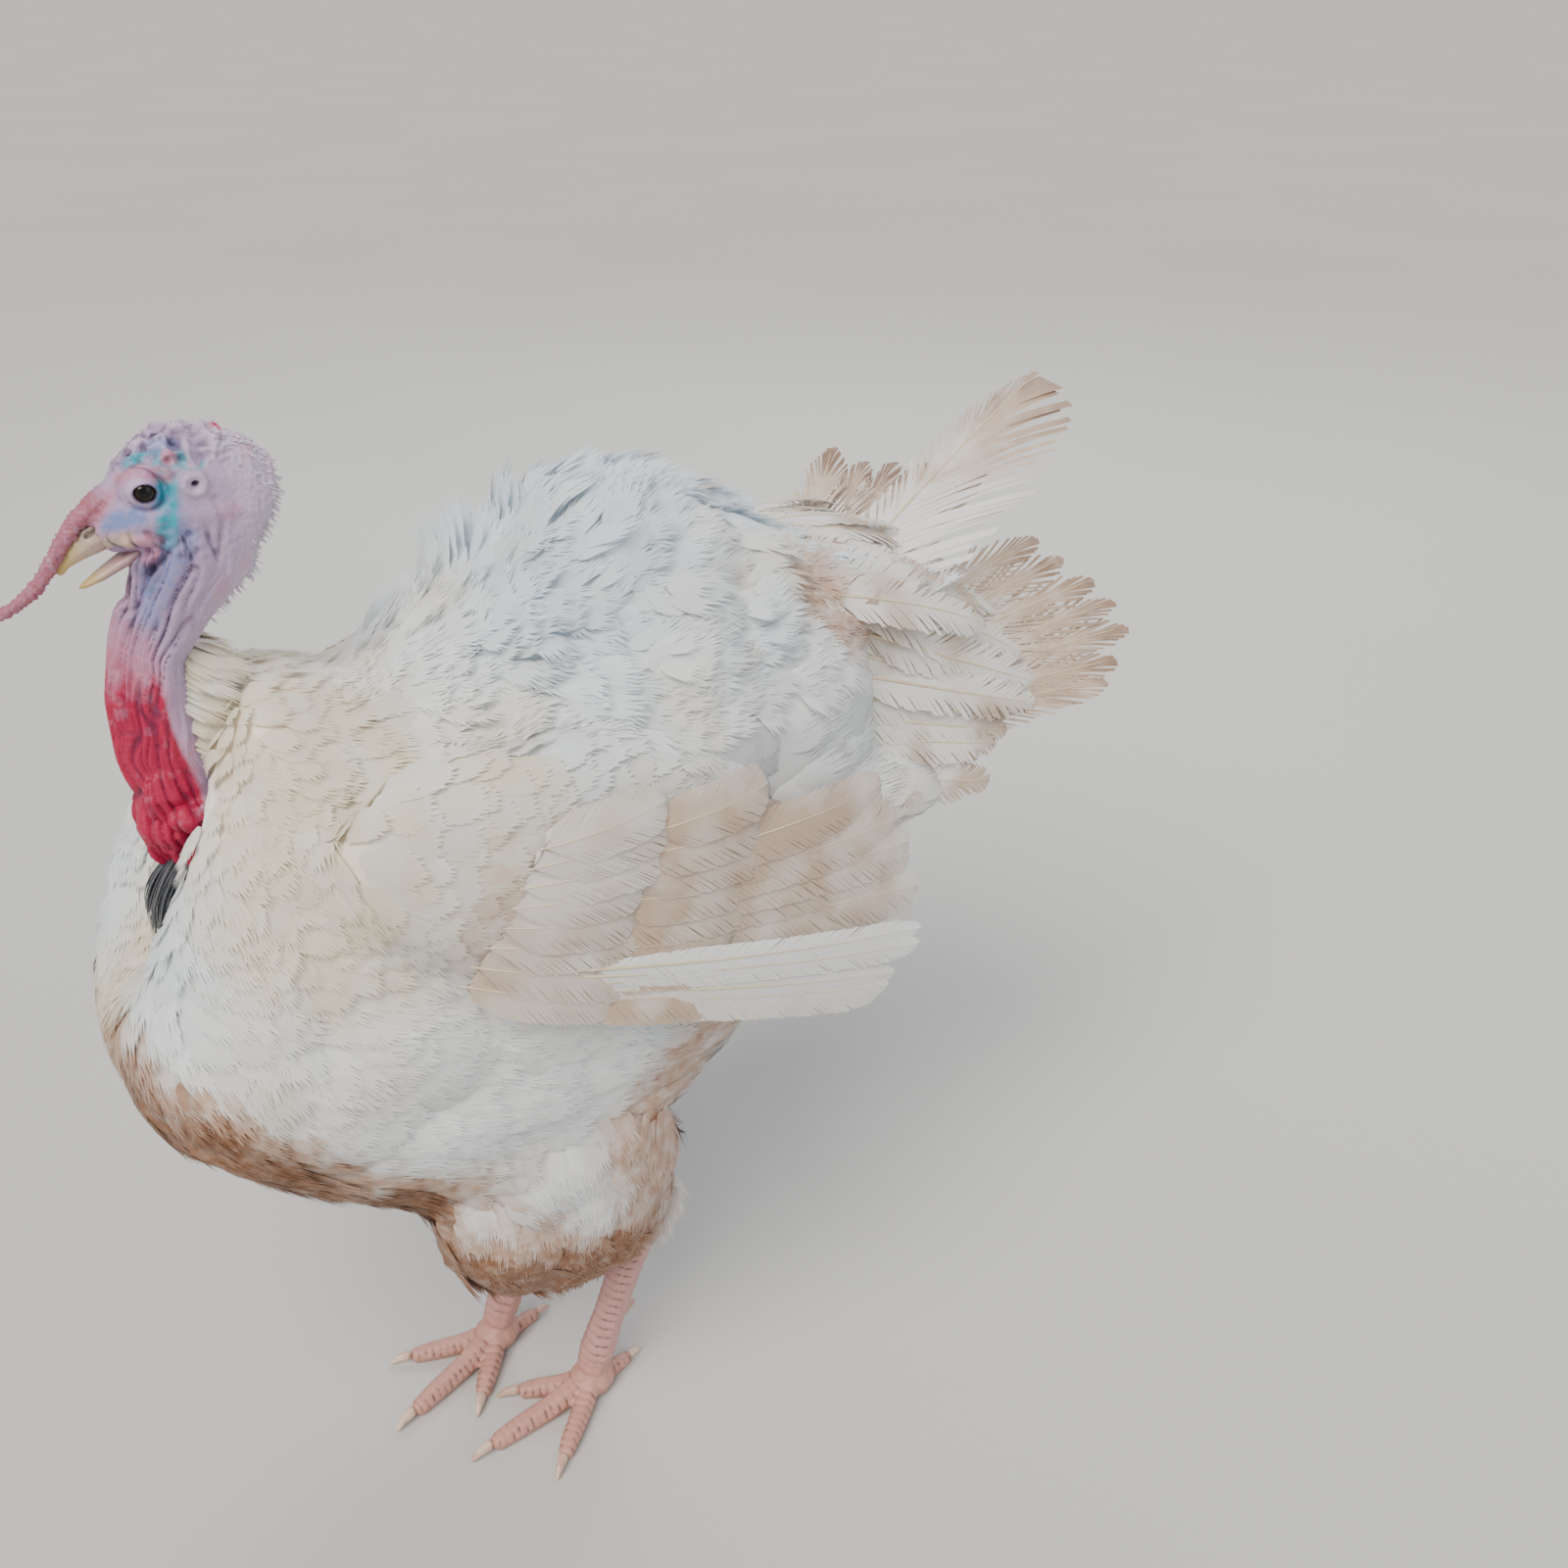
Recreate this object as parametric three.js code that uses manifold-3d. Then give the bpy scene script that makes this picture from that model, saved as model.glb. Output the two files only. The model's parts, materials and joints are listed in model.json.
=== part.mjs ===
// A white domestic turkey tom, walking with its back feathers ruffled and its tail half fanned.
// Units are millimetres. +Z is up, the bird faces -Y and its left side is +X.
// It is modelled about the point of the ground under its body, and moved at the end so that
// the origin is the middle of its bounding box, at the level of its soles.
import * as THREE from 'three';
import { mergeVertices } from 'three/addons/utils/BufferGeometryUtils.js';
import Module from 'manifold-3d';

const wasm = await Module();
wasm.setup();

// ---------------------------------------------------------------- driving dimensions

const GAP = 0.3; // clearance between neighbouring pieces
const BREAST_Y = -204; // foremost point of the breast
const RUMP_Y = 268; // hindmost point of the trunk, where the tail starts
const SHOULDER_HALF = 131; // half the widest part of the trunk
const CREASE_DEPTH = 46; // how far the furrow between the two breast lobes is sunk
const CREASE_HALF = 36; // half its breadth
const CREASE_END_Y = -120; // where it starts to deepen towards the breast
const CREASE_FOOT_Z = 380; // where it starts to deepen upwards
const CREASE_EASE = 58; // over how long it does so
const EYE_AT = [21.5, -128, 663.5]; // where the lids open, on the side of the face
const EYE_RADIUS = 8.5;
const EYE_SUNK = 7.6; // depth of its centre behind that point
const EAR_AT = [22.5, -106, 665];
const EAR_RADIUS = 7;
const BILL_TIP = [0, -170, 624];
const NECK_CUT = [0, -106, 618]; // where the head is parted from the neck, on the neck's axis
const NECK_CUT_TILT = 0.45; // radians, lower at the throat
const WEB_LENGTH = 8; // of a toe, hidden in the foot's joint
const TOE_RADIUS = 8.2; // at the root of a toe
const CLAW_LENGTH = 15;
const TAIL_ROOT = [0, 222, 505];
const TAIL_LENGTH = 305;
const TAIL_SUNK = 28; // where a tail feather starts, hidden under the coverts
const FEATHER_THICKNESS = 2.6; // of a wing or tail vane with the one under it
const VANE_STEP = 1.4; // how far a vane stands over its neighbour's edge
const SEAM_REACH = 0.985; // share of the way to the seam that a vane takes up

// Sections of the trunk from breast to rump: y, top, bottom, half width, height of the widest place.
const TRUNK_SECTIONS = [
  [BREAST_Y, 418, 334, 74, 374],
  [-190, 442, 312, 94, 374],
  [-160, 486, 290, 110, 374],
  [-130, 542, 264, 121, 374],
  [-98, 570, 236, 127, 374],
  [-60, 558, 206, 130, 376],
  [-20, 545, 190, SHOULDER_HALF, 380],
  [20, 592, 186, SHOULDER_HALF, 386],
  [60, 632, 194, 130, 394],
  [100, 650, 216, 125, 406],
  [140, 636, 244, 116, 424],
  [180, 617, 284, 104, 444],
  [220, 588, 340, 86, 465],
  [250, 562, 396, 64, 482],
  [RUMP_Y, 540, 440, 44, 492],
];

// Neck, from inside the breast to the skull: y, z, half width, half depth before and behind the axis.
const NECK_SECTIONS = [
  [-118, 452, 24, 22, 22],
  [-132, 490, 24, 24, 24],
  [-139, 528, 22, 23, 21],
  [-139, 556, 21, 22, 19],
  [-134, 580, 21, 22, 14],
  [-122, 602, 23, 26, 18],
  [-108, 625, 25, 29, 28],
  [-103, 646, 25, 30, 33],
  [-104, 660, 22, 24, 30],
];

// Skull, from nape to the root of the bill: y, z of the axis, half width, height above and below it.
const SKULL_SECTIONS = [
  [-68, 645, 15, 15, 20],
  [-76, 648, 21, 26, 26],
  [-90, 650, 24.5, 36, 32],
  [-108, 651, 25, 38, 30],
  [-123, 650, 22.5, 33, 24],
  [-135, 647, 18, 20, 17],
  [-146, 643, 12.5, 12, 11],
  [-153, 640, 9, 9, 7],
];

// ---------------------------------------------------------------- solids and booleans

function solidOf(geometry) {
  const bare = geometry.clone();
  bare.deleteAttribute('normal');
  bare.deleteAttribute('uv');
  const merged = mergeVertices(bare, 1e-4);
  const points = new Float32Array(merged.attributes.position.array);
  const corners = new Uint32Array(merged.index.array);
  const mesh = () => new wasm.Mesh({ numProp: 3, vertProperties: points, triVerts: corners });
  const make = () => new wasm.Manifold(mesh());
  let solid = make();
  if (solid.volume() < 0) {
    for (let i = 0; i < corners.length; i += 3) {
      [corners[i], corners[i + 1]] = [corners[i + 1], corners[i]];
    }
    solid = make();
  }
  return solid;
}

function geometryOf(solid) {
  const mesh = largest(solid).getMesh();
  const geometry = new THREE.BufferGeometry();
  geometry.setAttribute('position', new THREE.BufferAttribute(new Float32Array(mesh.vertProperties), 3));
  geometry.setIndex(new THREE.BufferAttribute(new Uint32Array(mesh.triVerts), 1));
  return geometry;
}

// A cut can leave crumbs beside the piece itself, so only the largest body is kept.
function largest(solid) {
  return solid.decompose().reduce((best, one) => (one.volume() > best.volume() ? one : best));
}

function join(solids) {
  return solids.reduce((whole, one) => whole.add(one));
}

function cut(solid, ...tools) {
  return tools.reduce((rest, tool) => rest.subtract(tool), solid);
}

function mirrored(solid) {
  return solid.mirror([1, 0, 0]);
}

// A block that fills everything above a height, or below it where the sign is -1.
function halfSpace(height, sign = 1, tilt = 0, y = 0) {
  const size = 2000;
  const box = new THREE.BoxGeometry(size, size, size);
  box.translate(0, 0, (sign * size) / 2);
  box.rotateX(tilt);
  box.translate(0, y, height);
  return solidOf(box);
}

// ---------------------------------------------------------------- lofts and feathers

const smooth = (x) => x * x * (3 - 2 * x);
const clamp01 = (x) => Math.min(1, Math.max(0, x));
const mix = (a, b, t) => a.map((v, i) => v + (b[i] - v) * t);
const bell = (x, spread) => Math.exp(-((x / spread) ** 2));

const POLE_SHARE = 1e-6; // a section this small is an end point

// How a section shrinks towards a blunt end that takes up the share `cap` of the length.
function roundEnd(t, cap) {
  return t >= cap ? 1 : Math.sqrt(Math.max(0, 1 - (1 - t / cap) ** 2));
}

// A closed loft. Each station is { at, sizes: [side, up, down] }: an egg-shaped section about a
// smooth axis, `side` along `across`, `up` and `down` at right angles to it.
function loft(stations, options = {}) {
  const { around = 20, along = 16, caps = [0.12, 0.12], across = [1, 0, 0], upright = false } = options;
  const { square = 2, grow = 0, reshape = null } = options;
  const curve = (rows) => {
    const points = rows.map((row) => new THREE.Vector3(...row));
    return new THREE.CatmullRomCurve3(points, false, 'centripetal');
  };
  const axis = curve(stations.map((station) => station.at));
  const sizes = curve(stations.map((station) => station.sizes));
  const sideways = new THREE.Vector3(...across).normalize();
  const geometry = new THREE.SphereGeometry(1, around, along);
  const { position, uv } = geometry.attributes;
  for (let i = 0; i < position.count; i += 1) {
    const t = (1 - Math.cos(Math.PI * (1 - uv.getY(i)))) / 2;
    const turn = uv.getX(i) * 2 * Math.PI;
    const centre = axis.getPoint(t);
    const ahead = axis.getTangent(t);
    if (upright) {
      ahead.set(0, 1, 0);
    }
    const side = sideways.clone().addScaledVector(ahead, -sideways.dot(ahead)).normalize();
    const up = new THREE.Vector3().crossVectors(side, ahead);
    const size = sizes.getPoint(t);
    const cap = Math.min(roundEnd(t, caps[0]), roundEnd(1 - t, caps[1]));
    const power = 2 / square;
    const cos = Math.sign(Math.cos(turn)) * Math.abs(Math.cos(turn)) ** power;
    const sin = Math.sign(Math.sin(turn)) * Math.abs(Math.sin(turn)) ** power;
    const height = sin > 0 ? size.y : size.z;
    const atPole = cap < POLE_SHARE;
    const fatter = atPole ? 0 : grow;
    const point = centre.addScaledVector(side, cos * size.x * cap).addScaledVector(up, sin * height * cap);
    if (reshape) {
      reshape(point);
    }
    point.addScaledVector(side, cos * fatter).addScaledVector(up, sin * fatter);
    if (atPole) {
      point.addScaledVector(ahead, t < 0.5 ? -grow : grow);
    }
    position.setXYZ(i, point.x, point.y, point.z);
  }
  return solidOf(geometry);
}

// A plain egg about a centre, half sizes along X, Y and Z.
function egg(centre, half, { grow = 0, around = 12, along = 8, tilt = 0 } = {}) {
  const ball = new THREE.SphereGeometry(1, around, along);
  ball.scale(half[0] + grow, half[1] + grow, half[2] + grow);
  ball.rotateX(tilt);
  ball.translate(...centre);
  return solidOf(ball);
}

// A fan of feathers in one piece: each vane laps over the next one by a small step, and the tips
// are scalloped. `feathers` lists the shafts as [root, tip], `face` is the side that faces out and
// `bow` is how far the shafts arch that way.
function featherFan({ feathers, face, bow, edge, notch = 0.13, along = 3, grow = 0 }) {
  const lanes = [-1, -0.45, 0.45, 1];
  const columns = feathers.length * lanes.length;
  const out = new THREE.Vector3(...face).normalize();
  const shafts = feathers.map((ends) => ends.map((v) => new THREE.Vector3(...v)));
  const onShaft = (k, t) => {
    const [root, tip] = shafts[k];
    return root.clone().lerp(tip, t).addScaledVector(out, bow * 4 * t * (1 - t));
  };
  // The seam between two vanes lies halfway between their shafts. The fan ends in half a vane.
  const onSeam = (k, t) => {
    if (k > 0 && k < shafts.length) {
      return onShaft(k - 1, t).add(onShaft(k, t)).multiplyScalar(0.5);
    }
    const own = k === 0 ? 0 : shafts.length - 1;
    const run = shafts[own][1].clone().sub(shafts[own][0]);
    const side = new THREE.Vector3().crossVectors(out, run).normalize();
    const spread = shafts[0][1].clone().sub(shafts[shafts.length - 1][1]);
    const sign = (spread.dot(side) < 0 ? -1 : 1) * (k === 0 ? 1 : -1);
    const half = grow + edge * (0.3 + 0.7 * Math.sin(Math.min(1, t / 0.75) * Math.PI * 0.5));
    return onShaft(own, t).addScaledVector(side, sign * half);
  };
  const plate = new THREE.BoxGeometry(1, 1, 1, along, columns - 1, 1);
  const { position } = plate.attributes;
  for (let i = 0; i < position.count; i += 1) {
    const column = Math.round((position.getY(i) + 0.5) * (columns - 1));
    const k = Math.floor(column / lanes.length);
    const lane = lanes[column % lanes.length];
    const t = (position.getX(i) + 0.5) * (1 - notch * Math.abs(lane) ** 3);
    const seam = onSeam(lane < 0 ? k : k + 1, t);
    const point = onShaft(k, t).lerp(seam, Math.abs(lane) * SEAM_REACH);
    const lap = (lane * VANE_STEP) / 2;
    point.addScaledVector(out, lap + position.getZ(i) * (FEATHER_THICKNESS + 2 * grow));
    position.setXYZ(i, point.x, point.y, point.z);
  }
  return solidOf(plate);
}

// ---------------------------------------------------------------- trunk

function trunkSolid(grow = 0) {
  const stations = TRUNK_SECTIONS.map(([y, top, bottom, half, widest]) => ({
    at: [0, y, widest],
    sizes: [half, top - widest, widest - bottom],
  }));
  const furrow = (point) => {
    const front = clamp01((CREASE_END_Y - point.y) / CREASE_EASE);
    const high = clamp01((point.z - CREASE_FOOT_Z) / CREASE_EASE);
    point.y += CREASE_DEPTH * bell(point.x, CREASE_HALF) * smooth(front) * smooth(high);
  };
  return loft(stations, {
    around: 20, along: 14, caps: [0.13, 0.07], upright: true, square: 2.15, grow, reshape: furrow,
  });
}

// ---------------------------------------------------------------- neck and head

function neckSolid(grow = 0) {
  const stations = NECK_SECTIONS.map(([y, z, half, before, behind]) => ({
    at: [0, y, z], sizes: [half, before, behind],
  }));
  return loft(stations, { around: 14, along: 12, caps: [0.08, 0.2], grow });
}

function skullSolid(grow = 0) {
  const stations = SKULL_SECTIONS.map(([y, z, half, above, below]) => ({
    at: [0, y, z], sizes: [half, below, above],
  }));
  return loft(stations, { around: 14, along: 10, caps: [0.14, 0.12], grow });
}

function eyeSolid(grow = 0) {
  const [x, y, z] = EYE_AT;
  return egg([x - EYE_SUNK, y, z], [EYE_RADIUS, EYE_RADIUS, EYE_RADIUS], { grow, around: 9, along: 6 });
}

// The ear is a low ring of skin round the ear hole.
function earSolid(grow = 0) {
  const profile = [
    [0, -6 - grow], [EAR_RADIUS + grow, -6 - grow], [EAR_RADIUS + grow, 0.6], [EAR_RADIUS * 0.72, 2.2 + grow],
    [EAR_RADIUS * 0.4, 1.4 + grow], [EAR_RADIUS * 0.26, -2.5 + grow], [0, -2.8 + grow],
  ];
  const ring = new THREE.LatheGeometry(profile.map(([r, h]) => new THREE.Vector2(r, h)), 8);
  ring.rotateZ(-Math.PI / 2);
  ring.translate(...EAR_AT);
  return solidOf(ring);
}

function upperBillSolid(grow = 0) {
  const [, tipY, tipZ] = BILL_TIP;
  return loft([
    { at: [0, -136, 646], sizes: [10, 8, 9] },
    { at: [0, -148, 642], sizes: [9, 8, 8.5] },
    { at: [0, -158, 637], sizes: [7, 6.5, 7] },
    { at: [0, -166, 631], sizes: [4.4, 3.6, 4.6] },
    { at: [0, tipY, tipZ], sizes: [1.8, 1.6, 2.2] },
  ], { around: 10, along: 7, caps: [0.1, 0.12], grow });
}

function lowerBillSolid(grow = 0) {
  return loft([
    { at: [0, -122, 637], sizes: [10, 5, 4] },
    { at: [0, -138, 629.5], sizes: [8, 4.2, 3] },
    { at: [0, -150, 623], sizes: [5.8, 3.4, 2.4] },
    { at: [0, -163, 616.5], sizes: [2.2, 1.6, 1.4] },
  ], { around: 10, along: 6, caps: [0.1, 0.15], grow });
}

function snoodSolid(grow = 0) {
  return loft([
    { at: [1, -136, 667], sizes: [6, 4, 4] },
    { at: [2, -145, 660], sizes: [6.2, 5, 5] },
    { at: [2.5, -155, 652], sizes: [5, 4.8, 4.8] },
    { at: [3, -166, 641], sizes: [4.3, 4.2, 4.2] },
    { at: [3.5, -174, 629], sizes: [4, 4, 4] },
    { at: [4, -184, 619], sizes: [3.6, 3.6, 3.6] },
    { at: [3, -197, 612], sizes: [3.3, 3.3, 3.3] },
    { at: [2, -210, 608], sizes: [2.7, 2.7, 2.7] },
  ], { around: 7, along: 10, caps: [0.15, 0.1], grow });
}

// Lumps of red flesh at the foot of the neck. Each lobe is a centre and three half sizes.
const CARUNCLE_LOBES = {
  middle: [
    [[0, -150, 504], [12, 10, 17]], [[7, -151, 489], [9, 9, 13]], [[-7, -151, 487], [9, 9, 13]],
    [[0, -149, 475], [9, 9, 13]],
  ],
  left: [
    [[19, -146, 510], [8, 11, 15]], [[26, -133, 498], [8, 15, 8]], [[18, -147, 488], [8, 9, 14]],
  ],
  right: [
    [[-19, -146, 508], [8, 11, 15]], [[-25, -135, 495], [8, 14, 9]], [[-18, -147, 486], [8, 9, 14]],
  ],
};

function caruncleSolid(side, grow = 0) {
  return join(CARUNCLE_LOBES[side].map(([centre, half]) => egg(centre, half, { grow, around: 6, along: 4 })));
}

function beardSolid(grow = 0) {
  return loft([
    { at: [4, -137, 468], sizes: [9, 6, 6] },
    { at: [5, -145, 452], sizes: [14, 6, 6] },
    { at: [4, -150, 438], sizes: [11, 6, 6] },
    { at: [2, -154, 424], sizes: [5, 3, 3] },
  ], { around: 8, along: 6, caps: [0.2, 0.2], grow });
}

// ---------------------------------------------------------------- legs

const FEET = {
  left: { joint: [43, 46, 22], hock: [47, 92, 152], heading: 10, outward: 1 },
  right: { joint: [-28, 4, 22], hock: [-43, 70, 152], heading: 24, outward: -1 },
};

// Toes of the right foot seen from above: turn from the middle toe towards the bird's midline,
// length without the claw, share of the root's thickness.
const TOES = {
  inner: { turn: 32, length: 44, stout: 0.9 },
  middle: { turn: 0, length: 74, stout: 1 },
  outer: { turn: -38, length: 55, stout: 0.88 },
  hind: { turn: 172, length: 26, stout: 0.72 },
};

function shankSolid(side, grow = 0) {
  const { joint, hock } = FEET[side];
  const [jx, jy, jz] = joint;
  const [hx, hy, hz] = hock;
  const between = (t) => [jx + (hx - jx) * t, jy + (hy - jy) * t, jz + (hz - jz) * t];
  const shank = loft([
    { at: between(-0.04), sizes: [13, 12, 11] },
    { at: between(0.12), sizes: [12, 13, 11] },
    { at: between(0.35), sizes: [10, 11.5, 10] },
    { at: between(0.65), sizes: [10.5, 12, 10.5] },
    { at: between(0.88), sizes: [13.5, 15, 13] },
    { at: between(1.1), sizes: [14, 15, 13] },
  ], { around: 8, along: 7, caps: [0.1, 0.12], grow });
  const pad = egg([jx, jy - 1, 12], [15, 16, 13.5], { grow, around: 8, along: 5 });
  return join([shank, pad]).subtract(halfSpace(-grow, -1));
}

function spurSolid(side) {
  const { joint, hock, outward } = FEET[side];
  const t = 0.3;
  const at = joint.map((v, i) => v + (hock[i] - v) * t);
  return loft([
    { at: [at[0] - outward * 2, at[1] + 4, at[2] - 2], sizes: [5.5, 5.5, 5.5] },
    { at: [at[0] - outward * 6, at[1] + 15, at[2] - 4], sizes: [4, 4, 4] },
    { at: [at[0] - outward * 9, at[1] + 25, at[2] - 2], sizes: [1.3, 1.3, 1.3] },
  ], { around: 6, along: 4, caps: [0.15, 0.15] });
}

// Points along a toe, at a share of its length, and the direction it runs in.
function toeLine(side, name) {
  const { joint, heading, outward } = FEET[side];
  const inward = -outward;
  const turn = side === 'left' ? -heading + TOES[name].turn : heading + TOES[name].turn;
  const angle = THREE.MathUtils.degToRad(turn);
  const run = [inward * Math.sin(angle), -Math.cos(angle), 0];
  const length = TOES[name].length + WEB_LENGTH;
  const point = (t, z) => [joint[0] + run[0] * length * t, joint[1] + run[1] * length * t, z];
  return { run, point };
}

function toeSolid(side, name, grow = 0) {
  const { run, point } = toeLine(side, name);
  const r = TOE_RADIUS * TOES[name].stout;
  const across = [run[1], -run[0], 0];
  const toe = loft([
    { at: point(0.1, r * 1.5), sizes: [r, r * 1.3, r * 1.3] },
    { at: point(0.32, r * 0.95), sizes: [r, r, r * 1.1] },
    { at: point(0.6, r * 0.85), sizes: [r * 0.92, r * 0.95, r] },
    { at: point(0.85, r * 0.75), sizes: [r * 0.85, r * 0.85, r] },
    { at: point(1, r * 0.62), sizes: [r * 0.66, r * 0.66, r * 0.8] },
  ], { around: 6, along: 5, caps: [0.1, 0.12], across, grow });
  return toe.subtract(halfSpace(-grow, -1));
}

function clawSolid(side, name) {
  const { run, point } = toeLine(side, name);
  const r = TOE_RADIUS * TOES[name].stout;
  const across = [run[1], -run[0], 0];
  const root = point(1, r * 0.75);
  const ahead = (d, z) => [root[0] + run[0] * d, root[1] + run[1] * d, z];
  const length = name === 'hind' ? CLAW_LENGTH * 0.75 : CLAW_LENGTH;
  const claw = loft([
    { at: ahead(-3, r * 0.9), sizes: [r * 0.5, r * 0.6, r * 0.6] },
    { at: ahead(length * 0.35, r * 0.9), sizes: [r * 0.46, r * 0.5, r * 0.5] },
    { at: ahead(length * 0.75, r * 0.6), sizes: [r * 0.3, r * 0.34, r * 0.34] },
    { at: ahead(length, 1.1), sizes: [r * 0.12, r * 0.14, r * 0.14] },
  ], { around: 6, along: 4, caps: [0.1, 0.15], across });
  return claw.subtract(halfSpace(0, -1));
}

// The feathered part of a leg, down to the hock.
function thighSolid(side, grow = 0) {
  const { hock, outward } = FEET[side];
  const [hx, hy] = hock;
  return loft([
    { at: [outward * 78, hy - 82, 335], sizes: [44, 62, 62] },
    { at: [outward * 82, hy - 70, 276], sizes: [44, 72, 88] },
    { at: [outward * 75, hy - 56, 222], sizes: [41, 70, 98] },
    { at: [outward * 64, hy - 46, 180], sizes: [35, 60, 84] },
    { at: [hx + outward * 9, hy - 38, 142], sizes: [25, 46, 58] },
  ], { around: 13, along: 8, caps: [0.25, 0.12], grow });
}

// ---------------------------------------------------------------- wings

// Shoulder, forearm and their covering feathers, a flat cushion on the side of the trunk.
// The right wing is held lower at the shoulder, so it stays below the line of the back.
const SHOULDER_TOPS = { left: [36, 58, 70, 70], right: [16, 18, 42, 62] };

function wingArmSolid(side, grow = 0) {
  const [first, second, third, fourth] = SHOULDER_TOPS[side];
  return loft([
    { at: [104, -92, 494], sizes: [20, first, 34] },
    { at: [116, -52, 490], sizes: [26, second, 54] },
    { at: [121, 0, 480], sizes: [28, third, 66] },
    { at: [119, 56, 468], sizes: [26, fourth, 68] },
    { at: [112, 112, 456], sizes: [21, 60, 60] },
    { at: [104, 156, 450], sizes: [14, 42, 44] },
  ], { around: 12, along: 8, caps: [0.2, 0.25], across: [1, 0.1, 0], square: 2.3, grow });
}

// Shafts spaced evenly from the first to the last, their tips on an arc that bulges by `sag`.
function featherRow({ count, roots, tips, sag }) {
  return Array.from({ length: count }, (_, k) => {
    const t = k / (count - 1);
    const tip = mix(tips[0], tips[1], t);
    tip[1] += sag * 4 * t * (1 - t);
    return [mix(roots[0], roots[1], t), tip];
  });
}

function secondarySolid() {
  const feathers = featherRow({
    count: 6, roots: [[140, 70, 474], [150, 24, 432]], tips: [[112, 222, 470], [132, 244, 384]], sag: 8,
  });
  return featherFan({ feathers, bow: 12, face: [1, 0, 0.25], edge: 14 });
}

function primarySolid() {
  const feathers = featherRow({
    count: 5, roots: [[151, 20, 428], [152, 8, 408]], tips: [[136, 238, 368], [146, 216, 336]], sag: 4,
  });
  return featherFan({ feathers, bow: 8, face: [1, 0, 0.1], edge: 11, along: 2 });
}

// ---------------------------------------------------------------- tail

// Each tail feather: turn to the bird's left of straight back, rise, share of the full length and
// how far its root lies below the topmost one. The left half hangs folded like the side of a tent,
// one middle feather stands up, the right half is raised behind it.
const TAIL_FANS = {
  tail_left: {
    face: [0.62, 0, 0.78],
    vane: 50,
    feathers: [[7, 3.5, 0.83, 60], [1, 4, 0.92, 54], [-3, 6, 0.92, 48], [-8, 9, 0.86, 42], [-13, 10, 0.83, 34]],
  },
  tail_middle: { face: [0.25, -0.3, 0.9], vane: 90, feathers: [[-15, 20, 1.03, 0]] },
  tail_right: {
    face: [0.05, -0.1, 1],
    vane: 50,
    feathers: [[-25, 20, 0.8, 16], [-32, 22, 0.75, 16], [-40, 25, 0.66, 16], [-47, 31, 0.62, 16]],
  },
};

function tailSolid({ face, vane, feathers }, grow = 0) {
  const shafts = feathers.map(([turn, rise, share, drop]) => {
    const a = THREE.MathUtils.degToRad(turn);
    const e = THREE.MathUtils.degToRad(rise);
    const run = [Math.sin(a) * Math.cos(e), Math.cos(a) * Math.cos(e), Math.sin(e)];
    const root = [TAIL_ROOT[0] + drop * 0.2, TAIL_ROOT[1] - drop * 0.2, TAIL_ROOT[2] - drop];
    return [TAIL_SUNK, TAIL_LENGTH * share].map((d) => root.map((v, i) => v + run[i] * d));
  });
  return featherFan({ feathers: shafts, face, bow: 7, edge: vane / 2, notch: 0.16, grow });
}

// Covering feathers over and under the root of the tail.
function upperCovertSolid(grow = 0) {
  return loft([
    { at: [0, 190, 556], sizes: [60, 34, 30] },
    { at: [-2, 236, 546], sizes: [70, 32, 24] },
    { at: [-6, 284, 538], sizes: [66, 24, 18] },
    { at: [-12, 326, 532], sizes: [50, 14, 12] },
    { at: [-18, 360, 528], sizes: [26, 6, 6] },
  ], { around: 12, along: 8, caps: [0.12, 0.2], grow });
}

function lowerCovertSolid(grow = 0) {
  return loft([
    { at: [6, 176, 404], sizes: [62, 46, 46] },
    { at: [14, 226, 416], sizes: [68, 46, 42] },
    { at: [24, 278, 418], sizes: [60, 36, 34] },
    { at: [32, 322, 412], sizes: [42, 24, 24] },
    { at: [36, 354, 402], sizes: [22, 12, 12] },
  ], { around: 12, along: 8, caps: [0.12, 0.2], grow });
}

// ---------------------------------------------------------------- assembly

const COLOURS = {
  plumage: ['#e9e6e0', 0.85],
  flight: ['#ddd0c0', 0.7],
  skin: ['#b7a6bd', 0.6],
  redSkin: ['#b8323f', 0.5],
  bill: ['#c9b08a', 0.45],
  eye: ['#1c1512', 0.12],
  beard: ['#1d2230', 0.7],
  leg: ['#b98a80', 0.6],
  claw: ['#8a6f58', 0.4],
};

const bird = new THREE.Group();

function place(name, solid, kind) {
  const [color, roughness] = COLOURS[kind];
  const material = new THREE.MeshStandardMaterial({ color, roughness, metalness: 0 });
  const mesh = new THREE.Mesh(geometryOf(solid), material);
  mesh.name = name;
  bird.add(mesh);
}

const trunkRoom = trunkSolid(GAP);
const neckRoom = neckSolid(GAP);
const skullRoom = skullSolid(GAP);
const upperBillRoom = upperBillSolid(GAP);
const lowerBillRoom = lowerBillSolid(GAP);
const eyeRoom = eyeSolid(GAP);
const earRoom = earSolid(GAP);

// Head and neck are one form, parted by a thin cut across the throat.
const headAndNeck = join([neckSolid(), skullSolid()]);
const [, cutY, cutZ] = NECK_CUT;
const headPart = headAndNeck.intersect(halfSpace(cutZ + GAP, 1, NECK_CUT_TILT, cutY));
const neckPart = headAndNeck.intersect(halfSpace(cutZ, -1, NECK_CUT_TILT, cutY));
const sockets = [eyeRoom, mirrored(eyeRoom), earRoom, mirrored(earRoom)];
const head = cut(headPart, upperBillRoom, lowerBillRoom, ...sockets);
const neckWell = neckRoom.add(skullRoom);

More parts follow.
